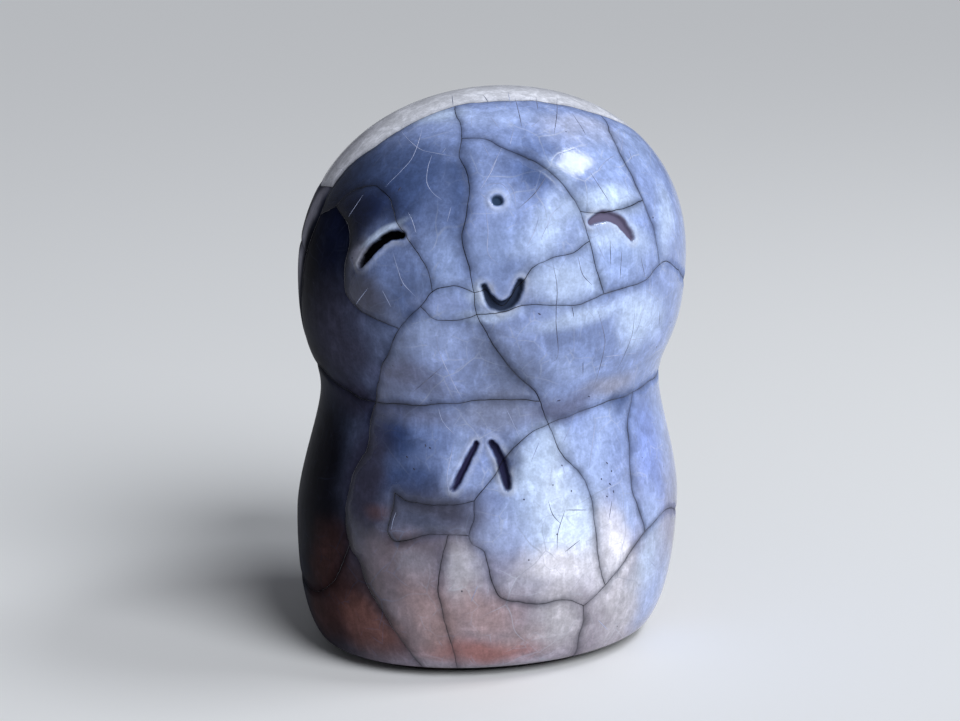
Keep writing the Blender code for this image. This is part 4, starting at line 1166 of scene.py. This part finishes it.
def glaze_material(name, shine, roughness):
    """Raku glaze: a clouded wash with fine crazes, soot stain and painted shade by the cracks and ink in the
    pressed strokes.
    """
    material, graph, shader = new_material(name)
    wash = attribute(graph, "wash", "Color")
    place = graph.nodes.new("ShaderNodeTexCoord").outputs["Object"]
    noises = {kind: object_noise(graph, *values) for kind, values in GLAZE_NOISES.items()}
    combed = graph.nodes.new("ShaderNodeMapping")
    combed.inputs["Rotation"].default_value = STREAK_TURN
    combed.inputs["Scale"].default_value = STREAK_STRETCH
    graph.links.new(place, combed.inputs["Vector"])
    noises["streaks"] = object_noise(graph, *STREAK_NOISE, combed.outputs["Vector"])
    toned = graph.nodes.new("ShaderNodeVectorMath")
    toned.operation = "SCALE"
    graph.links.new(wash, toned.inputs["Vector"])
    tone = product(graph, *(remap(graph, noises[kind], *values) for kind, values in TONES.items()))
    graph.links.new(tone, toned.inputs["Scale"])

    net_place = graph.nodes.new("ShaderNodeVectorMath")
    net_place.operation = "MULTIPLY_ADD"
    net_place.inputs[1].default_value = NET_WANDER
    graph.links.new(object_noise(graph, *NET_WANDER_NOISE, place, "Color"), net_place.inputs[0])
    graph.links.new(place, net_place.inputs[2])
    nets = []
    for scale, near, far, gate, most in CRAZE_NETS:
        to_edge = voronoi(graph, scale, net_place.outputs["Vector"], "DISTANCE_TO_EDGE")
        nets.append(product(graph, remap(graph, to_edge, near, far, 1.0, 0.0),
                            remap(graph, noises[gate], *NET_GATE, 0.0, most)))
    craze = arithmetic(graph, "MAXIMUM", *nets)
    brightness = graph.nodes.new("ShaderNodeRGBToBW")
    graph.links.new(wash, brightness.inputs["Color"])
    light = brightness.outputs["Val"]
    colour = mix(graph, craze, toned.outputs["Vector"], colour_ramp(graph, light, NET_STOPS))

    # Darkening near the cracks: soot stain with painted shade of the crack valleys.
    smoke_and_shade_reach = product(graph, attribute(graph, "crack", "Fac"),
                          remap(graph, noises["edge"], *SPANS["smoke_and_shade_edge"]), SMOKE_AND_SHADE_REACH)
    smoke_and_shade = product(graph, colour_ramp(graph, smoke_and_shade_reach, SMOKE_AND_SHADE_STOPS),
                    remap(graph, noises["gate"], *SPANS["smoke_and_shade_gate"]))
    colour = mix(graph, smoke_and_shade, colour, mix(graph, 1.0, colour, SMOKE_AND_SHADE_TINT, "MULTIPLY"))

    rim_reach = arithmetic(graph, "ADD", attribute(graph, "stroke", "Fac"),
                           remap(graph, noises["edge"], *SPANS["rim_edge"]))
    pale_rim = product(graph, colour_ramp(graph, product(graph, rim_reach, RIM_REACH), RIM_STOPS),
                       remap(graph, noises["edge"], *SPANS["rim_gate"]),
                       remap(graph, light, *SPANS["rim_light"]))
    colour = mix(graph, pale_rim, colour, RIM_TINT)
    colour = mix(graph, remap(graph, rim_reach, *SPANS["ink"]), colour, attribute(graph, "ink", "Color"))

    pore = product(graph, remap(graph, voronoi(graph, PORE_SCALE, place), *SPANS["pore"]),
                   remap(graph, noises["pore"], *SPANS["pore_gate"]))
    colour = mix(graph, pore, colour, PORE_TINT)
    graph.links.new(colour, shader.inputs["Base Color"])
    dulled = remap(graph, smoke_and_shade, *DULLED, roughness, DULL_ROUGHNESS)
    graph.links.new(dulled, shader.inputs["Roughness"])
    shader.inputs["Specular IOR Level"].default_value = shine
    normal = add_bump(graph, noises["swell"], *SWELL_BUMP)
    normal = add_bump(graph, noises["skin"], *SKIN_BUMP, normal)
    normal = add_bump(graph, arithmetic(graph, "ADD", craze, pore), *HOLLOW_BUMP, normal)
    graph.links.new(normal, shader.inputs["Normal"])
    return material


GLOSSY_SHINE, GLOSSY_ROUGHNESS = 0.5, 0.15
SMOKED_SHINE, SMOKED_ROUGHNESS = 0.015, 0.45
EDGE_TONE = (500.0, 3.0)
EDGE_STOPS = [(0.3, (0.07, 0.07, 0.08)), (0.7, (0.20, 0.20, 0.23))]
EDGE_ROUGHNESS = 0.8

glossy_glaze = glaze_material("raku_glaze", GLOSSY_SHINE, GLOSSY_ROUGHNESS)
smoked_glaze = glaze_material("smoked_glaze", SMOKED_SHINE, SMOKED_ROUGHNESS)
smoked_rim = plain_material("smoked_rim", EDGE_TONE, EDGE_STOPS, EDGE_ROUGHNESS)

SMOKED_PLATES = ("glaze_left_cheek", "glaze_left_flank", "glaze_left_skirt", "glaze_left_rear_temple",
                 "glaze_left_rear_cheek")
for shard in shards:
    tree = tree_of([vert.co for vert in shard.data.vertices])
    node = min(plate_places, key=lambda name: tree.find(plate_places[name])[2])
    shard.name = node.replace("glaze_", "plate_")
    shard.data.name = shard.name
    finish_plate(shard, smoked_glaze if node in SMOKED_PLATES else glossy_glaze, smoked_glaze, smoked_rim)
    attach(shard, "root")
    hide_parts(node)


# Fine crazes wander over the glaze. They lie in its surface as hair-thin lines: pale where the craze
# shows against dark glaze, and smoky where it shows against pale glaze. Pits are short dark ones.
PALE_CRAZES = {
    "forehead_bow": [(400, 130), (412, 143), (422, 150), (435, 153), (458, 157)],
    "forehead_drop": [(422, 128), (420, 137), (412, 158), (402, 170), (392, 180), (385, 187)],
    "forehead_tick": [(446, 148), (442, 153)],
    "temple_bow": [(432, 155), (428, 167), (427, 183), (433, 193), (442, 200)],
    "by_the_parting": [(451, 207), (447, 222)],
    "above_eye_tick": [(408, 212), (413, 223), (416, 233)],
    "below_eye_long": [(393, 253), (398, 270), (403, 283), (412, 293), (417, 298)],
    "left_cheek_tick": [(368, 288), (355, 305)],
    "left_cheek_second": [(382, 290), (391, 307)],
    "above_eye_slant": [(363, 195), (348, 217)],
    "brow_tick": [(482, 143), (490, 157)],
    "dot_left_long": [(499, 153), (492, 170), (480, 190)],
    "dot_ring_left": [(480, 193), (488, 200)],
    "nose_long": [(485, 203), (488, 230), (488, 253), (498, 265)],
    "brow_slant": [(502, 147), (490, 172)],
    "dot_ring_right": [(505, 180), (513, 190), (516, 207)],
    "top_first": [(542, 118), (530, 128)],
    "top_second": [(514, 127), (510, 145)],
    "right_brow_bow": [(618, 153), (605, 162), (595, 175)],
    "right_brow_tick": [(623, 137), (621, 153)],
    "chin_long": [(437, 328), (438, 348), (448, 372), (457, 390), (463, 400)],
    "sleeve_top": [(438, 408), (443, 422), (455, 435)],
    "hands_left": [(455, 438), (450, 460), (447, 477), (450, 497)],
    "jowl_tick": [(574, 325), (574, 355)],
    "right_jowl_level": [(627, 340), (645, 338)],
    "right_jowl_second": [(603, 357), (637, 353)],
    "under_chin": [(506, 408), (520, 438)],
    "breast_top": [(572, 423), (562, 445)],
    "girdle_left": [(396, 512), (393, 520), (391, 530)],
    "right_hem": [(645, 555), (660, 572)],
    "low_right": [(598, 620), (608, 630)],
    "crown_first": [(490, 116), (500, 129)],
    "crown_second": [(508, 92), (511, 106)],
    "dot_ring_top": [(483, 187), (492, 184), (501, 184), (508, 190), (512, 199)],
    "forehead_feather_first": [(540, 212), (535, 230), (525, 250)],
    "forehead_feather_second": [(551, 220), (545, 230), (541, 240)],
    "forehead_feather_third": [(562, 205), (552, 214), (547, 226)],
    "right_brow_top": [(589, 116), (598, 130), (612, 150)],
    "right_lid_slant": [(598, 245), (606, 262)],
    "jowl_feather": [(646, 300), (640, 322), (634, 337)],
    "jowl_feather_second": [(653, 305), (650, 322)],
    "breast_long": [(596, 418), (593, 440), (589, 470)],
    "belly_left_long": [(540, 440), (531, 462)],
    "belly_feather": [(560, 455), (566, 478)],
    "front_skirt_second": [(478, 585), (471, 602)],
}
DARK_CRAZES = {
    "crown_right": [(557, 97), (557, 113), (554, 135)],
    "crown_middle": [(515, 97), (520, 118), (522, 128)],
    "crown_tick": [(536, 97), (538, 110)],
    "crown_branch": [(572, 113), (582, 128), (586, 135)],
    "brow_branch": [(547, 175), (535, 193), (519, 208)],
    "right_brow": [(590, 172), (605, 195), (610, 203)],
    "right_cheek_long": [(553, 263), (557, 287), (556, 320), (557, 358), (550, 363)],
    "right_cheek_slant": [(578, 257), (583, 275), (592, 285)],
    "right_lid_first": [(610, 240), (611, 268)],
    "right_lid_second": [(622, 248), (620, 280)],
    "right_lid_third": [(641, 258), (645, 277)],
    "jowl_long": [(598, 310), (605, 340), (604, 350), (597, 377), (592, 390)],
    "jowl_right": [(635, 310), (632, 335), (623, 358), (617, 370)],
    "jowl_edge": [(660, 310), (659, 328)],
    "chin_slant": [(442, 367), (413, 392)],
    "crown_left": [(452, 95), (453, 105)],
    "belly_drop": [(565, 510), (558, 533), (557, 552)],
    "belly_slant": [(565, 552), (580, 540)],
    "belly_level": [(565, 510), (588, 510)],
    "crown_first_dark": [(483, 95), (489, 102)],
    "temple_dark": [(629, 150), (632, 160)],
    "right_jowl_fork": [(583, 362), (583, 374)],
    "right_cheek_low": [(572, 305), (574, 318)],
    "belly_fork": [(548, 500), (553, 515), (561, 524)],
    "breast_first": [(612, 500), (609, 520)],
}
PITS = {
    "breast_first": [(606, 462), (608, 464)],
    "breast_second": [(611, 470), (612, 472)],
    "breast_third": [(609, 483), (611, 485)],
    "breast_fourth": [(613, 490), (614, 493)],
    "breast_fifth": [(606, 496), (608, 497)],
    "breast_sixth": [(601, 478), (602, 480)],
    "sleeve_first": [(425, 444), (426, 447)],
    "sleeve_second": [(429, 447), (431, 449)],
    "sleeve_third": [(406, 456), (408, 458)],
    "sleeve_fourth": [(413, 468), (415, 470)],
    "forehead": [(398, 191), (401, 187)],
    "jowl": [(538, 313), (541, 315)],
    "cheek": [(401, 284), (402, 286)],
    "neck_first": [(588, 396), (590, 397)],
    "neck_second": [(557, 401), (561, 400)],
    "belly_first": [(561, 465), (563, 466)],
    "belly_second": [(552, 485), (554, 485)],
    "belly_third": [(571, 490), (572, 492)],
    "belly_fourth": [(523, 499), (525, 500)],
}
PALE_HALF_WIDTH = 0.045 * MM
DARK_HALF_WIDTH = 0.055 * MM
PIT_HALF_WIDTH = 0.11 * MM
CRAZE_RISE = 0.012 * MM
CRAZE_ROOT = 0.05 * MM
CRAZE_TAPER = 0.9
CRAZE_STEP = 0.1
PIXEL_SCALE = (0.1, 0.1)
CRAZE_TONE = (400.0, 2.0)
CRAZE_ROUGHNESS = 0.25


def craze_lines(name, routes, widest, material):
    """All the crazes of one kind, each a sliver that tapers at both ends and lies in the coat."""
    form = bmesh.new()
    for stops in routes.values():
        pixels = smooth_route(stops, CRAZE_STEP, PIXEL_SCALE)
        hits = [seen_place(*pixel) for pixel in pixels]
        places = np.array([place for place, _ in hits])
        out = np.array([out for _, out in hits])
        crack, _ = distances(crack_tree, places)
        places -= out * (stroke_sink(*from_stroke_edge(places)) + rounded_sink(places, crack))[:, None]
        ahead = np.gradient(places, axis=0)
        side = np.cross(ahead, out)
        side /= np.linalg.norm(side, axis=1, keepdims=True)
        along = np.linspace(-1.0, 1.0, len(places))[:, None]
        half_width = widest * (1.0 - CRAZE_TAPER * np.abs(along) ** 3)
        rings = [places + side * half_width, places + out * CRAZE_RISE, places - side * half_width,
                 places - out * CRAZE_ROOT]
        lines = [[form.verts.new(place) for place in ring] for ring in rings]
        edges = [[form.edges.new(pair) for pair in zip(line, line[1:])] for line in lines]
        for first, second in zip(edges, edges[1:] + edges[:1]):
            bmesh.ops.bridge_loops(form, edges=first + second)
        for end in (0, -1):
            bmesh.ops.contextual_create(form, geom=[line[end] for line in lines])
    bmesh.ops.recalc_face_normals(form, faces=form.faces)
    mesh = mesh_from(form, name)
    mesh.shade_smooth()
    mesh.materials.append(material)
    lines = add_piece(name, mesh)
    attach(lines, "root")
    return lines


def craze_material(name, low, high):
    return plain_material(name, CRAZE_TONE, [(0.35, low), (0.65, high)], CRAZE_ROUGHNESS)


pale_crazes = craze_lines("pale_crazes", PALE_CRAZES, PALE_HALF_WIDTH,
                          craze_material("pale_craze", (0.26, 0.31, 0.52), (0.52, 0.57, 0.80)))
dark_crazes = craze_lines("dark_crazes", DARK_CRAZES, DARK_HALF_WIDTH,
                          craze_material("dark_craze", (0.08, 0.09, 0.15), (0.22, 0.24, 0.36)))
pits = craze_lines("pits", PITS, PIT_HALF_WIDTH,
                   craze_material("pit", (0.03, 0.035, 0.07), (0.10, 0.11, 0.20)))


# A seamless pale floor, plain and matt, fills the picture behind the figure.
FLOOR_SIZE = 9.0
FLOOR_COLOUR = (0.86, 0.86, 0.87, 1.0)
FLOOR_ROUGHNESS = 0.9

form = bmesh.new()
bmesh.ops.create_grid(form, x_segments=1, y_segments=1, size=FLOOR_SIZE / 2)
floor_mesh = mesh_from(form, "floor")
floor_material, _, shader = new_material("floor")
shader.inputs["Base Color"].default_value = FLOOR_COLOUR
shader.inputs["Roughness"].default_value = FLOOR_ROUGHNESS
floor_mesh.materials.append(floor_material)
floor = add_piece("floor", floor_mesh)


# A broad soft light comes over the right shoulder of whoever looks on, and a small window-shaped
# lamp, set where the coat mirrors it, gives the bright reflection on the brow.
GLINT_PIXEL = (575, 162)
WINDOW_DISTANCE = 0.50
SUN_AZIMUTH = math.radians(38)
SUN_HEIGHT = math.radians(38)
WINDOW_WIDTH = 0.16
WINDOW_HEIGHT = 0.13
WINDOW_ENERGY = 0.95
WINDOW_COLOUR = (0.93, 0.97, 1.0)
SUN_ENERGY = 2.55
SUN_SPREAD = math.radians(35)
SUN_COLOUR = (0.94, 0.97, 1.0)
AMBIENT_COLOUR = (0.90, 0.93, 1.0, 1.0)
AMBIENT_STRENGTH = 0.12


def add_lamp(name, kind, place, target):
    data = bpy.data.lights.new(name, kind)
    lamp = bpy.data.objects.new(name, data)
    bpy.context.scene.collection.objects.link(lamp)
    lamp.location = place
    lamp.rotation_euler = (target - place).to_track_quat("-Z", "Y").to_euler()
    return lamp


glint, glint_out = seen_place(*GLINT_PIXEL)
to_camera = (camera.location - glint).normalized()
to_window = glint_out * 2 * glint_out.dot(to_camera) - to_camera
window = add_lamp("window", "AREA", glint + to_window * WINDOW_DISTANCE, glint)
window.data.shape = "RECTANGLE"
window.data.size = WINDOW_WIDTH
window.data.size_y = WINDOW_HEIGHT
window.data.energy = WINDOW_ENERGY
window.data.color = WINDOW_COLOUR

to_sun = Vector((math.cos(SUN_HEIGHT) * math.sin(SUN_AZIMUTH), -math.cos(SUN_HEIGHT) * math.cos(SUN_AZIMUTH),
                 math.sin(SUN_HEIGHT)))
daylight = add_lamp("soft_daylight", "SUN", to_sun, Vector((0.0, 0.0, 0.0)))
daylight.data.energy = SUN_ENERGY
daylight.data.angle = SUN_SPREAD
daylight.data.color = SUN_COLOUR
daylight.visible_glossy = False

world = bpy.data.worlds.new("studio")
world.use_nodes = True
background = world.node_tree.nodes["Background"]
background.inputs["Color"].default_value = AMBIENT_COLOUR
background.inputs["Strength"].default_value = AMBIENT_STRENGTH
bpy.context.scene.world = world
bpy.context.scene.view_settings.view_transform = "Standard"
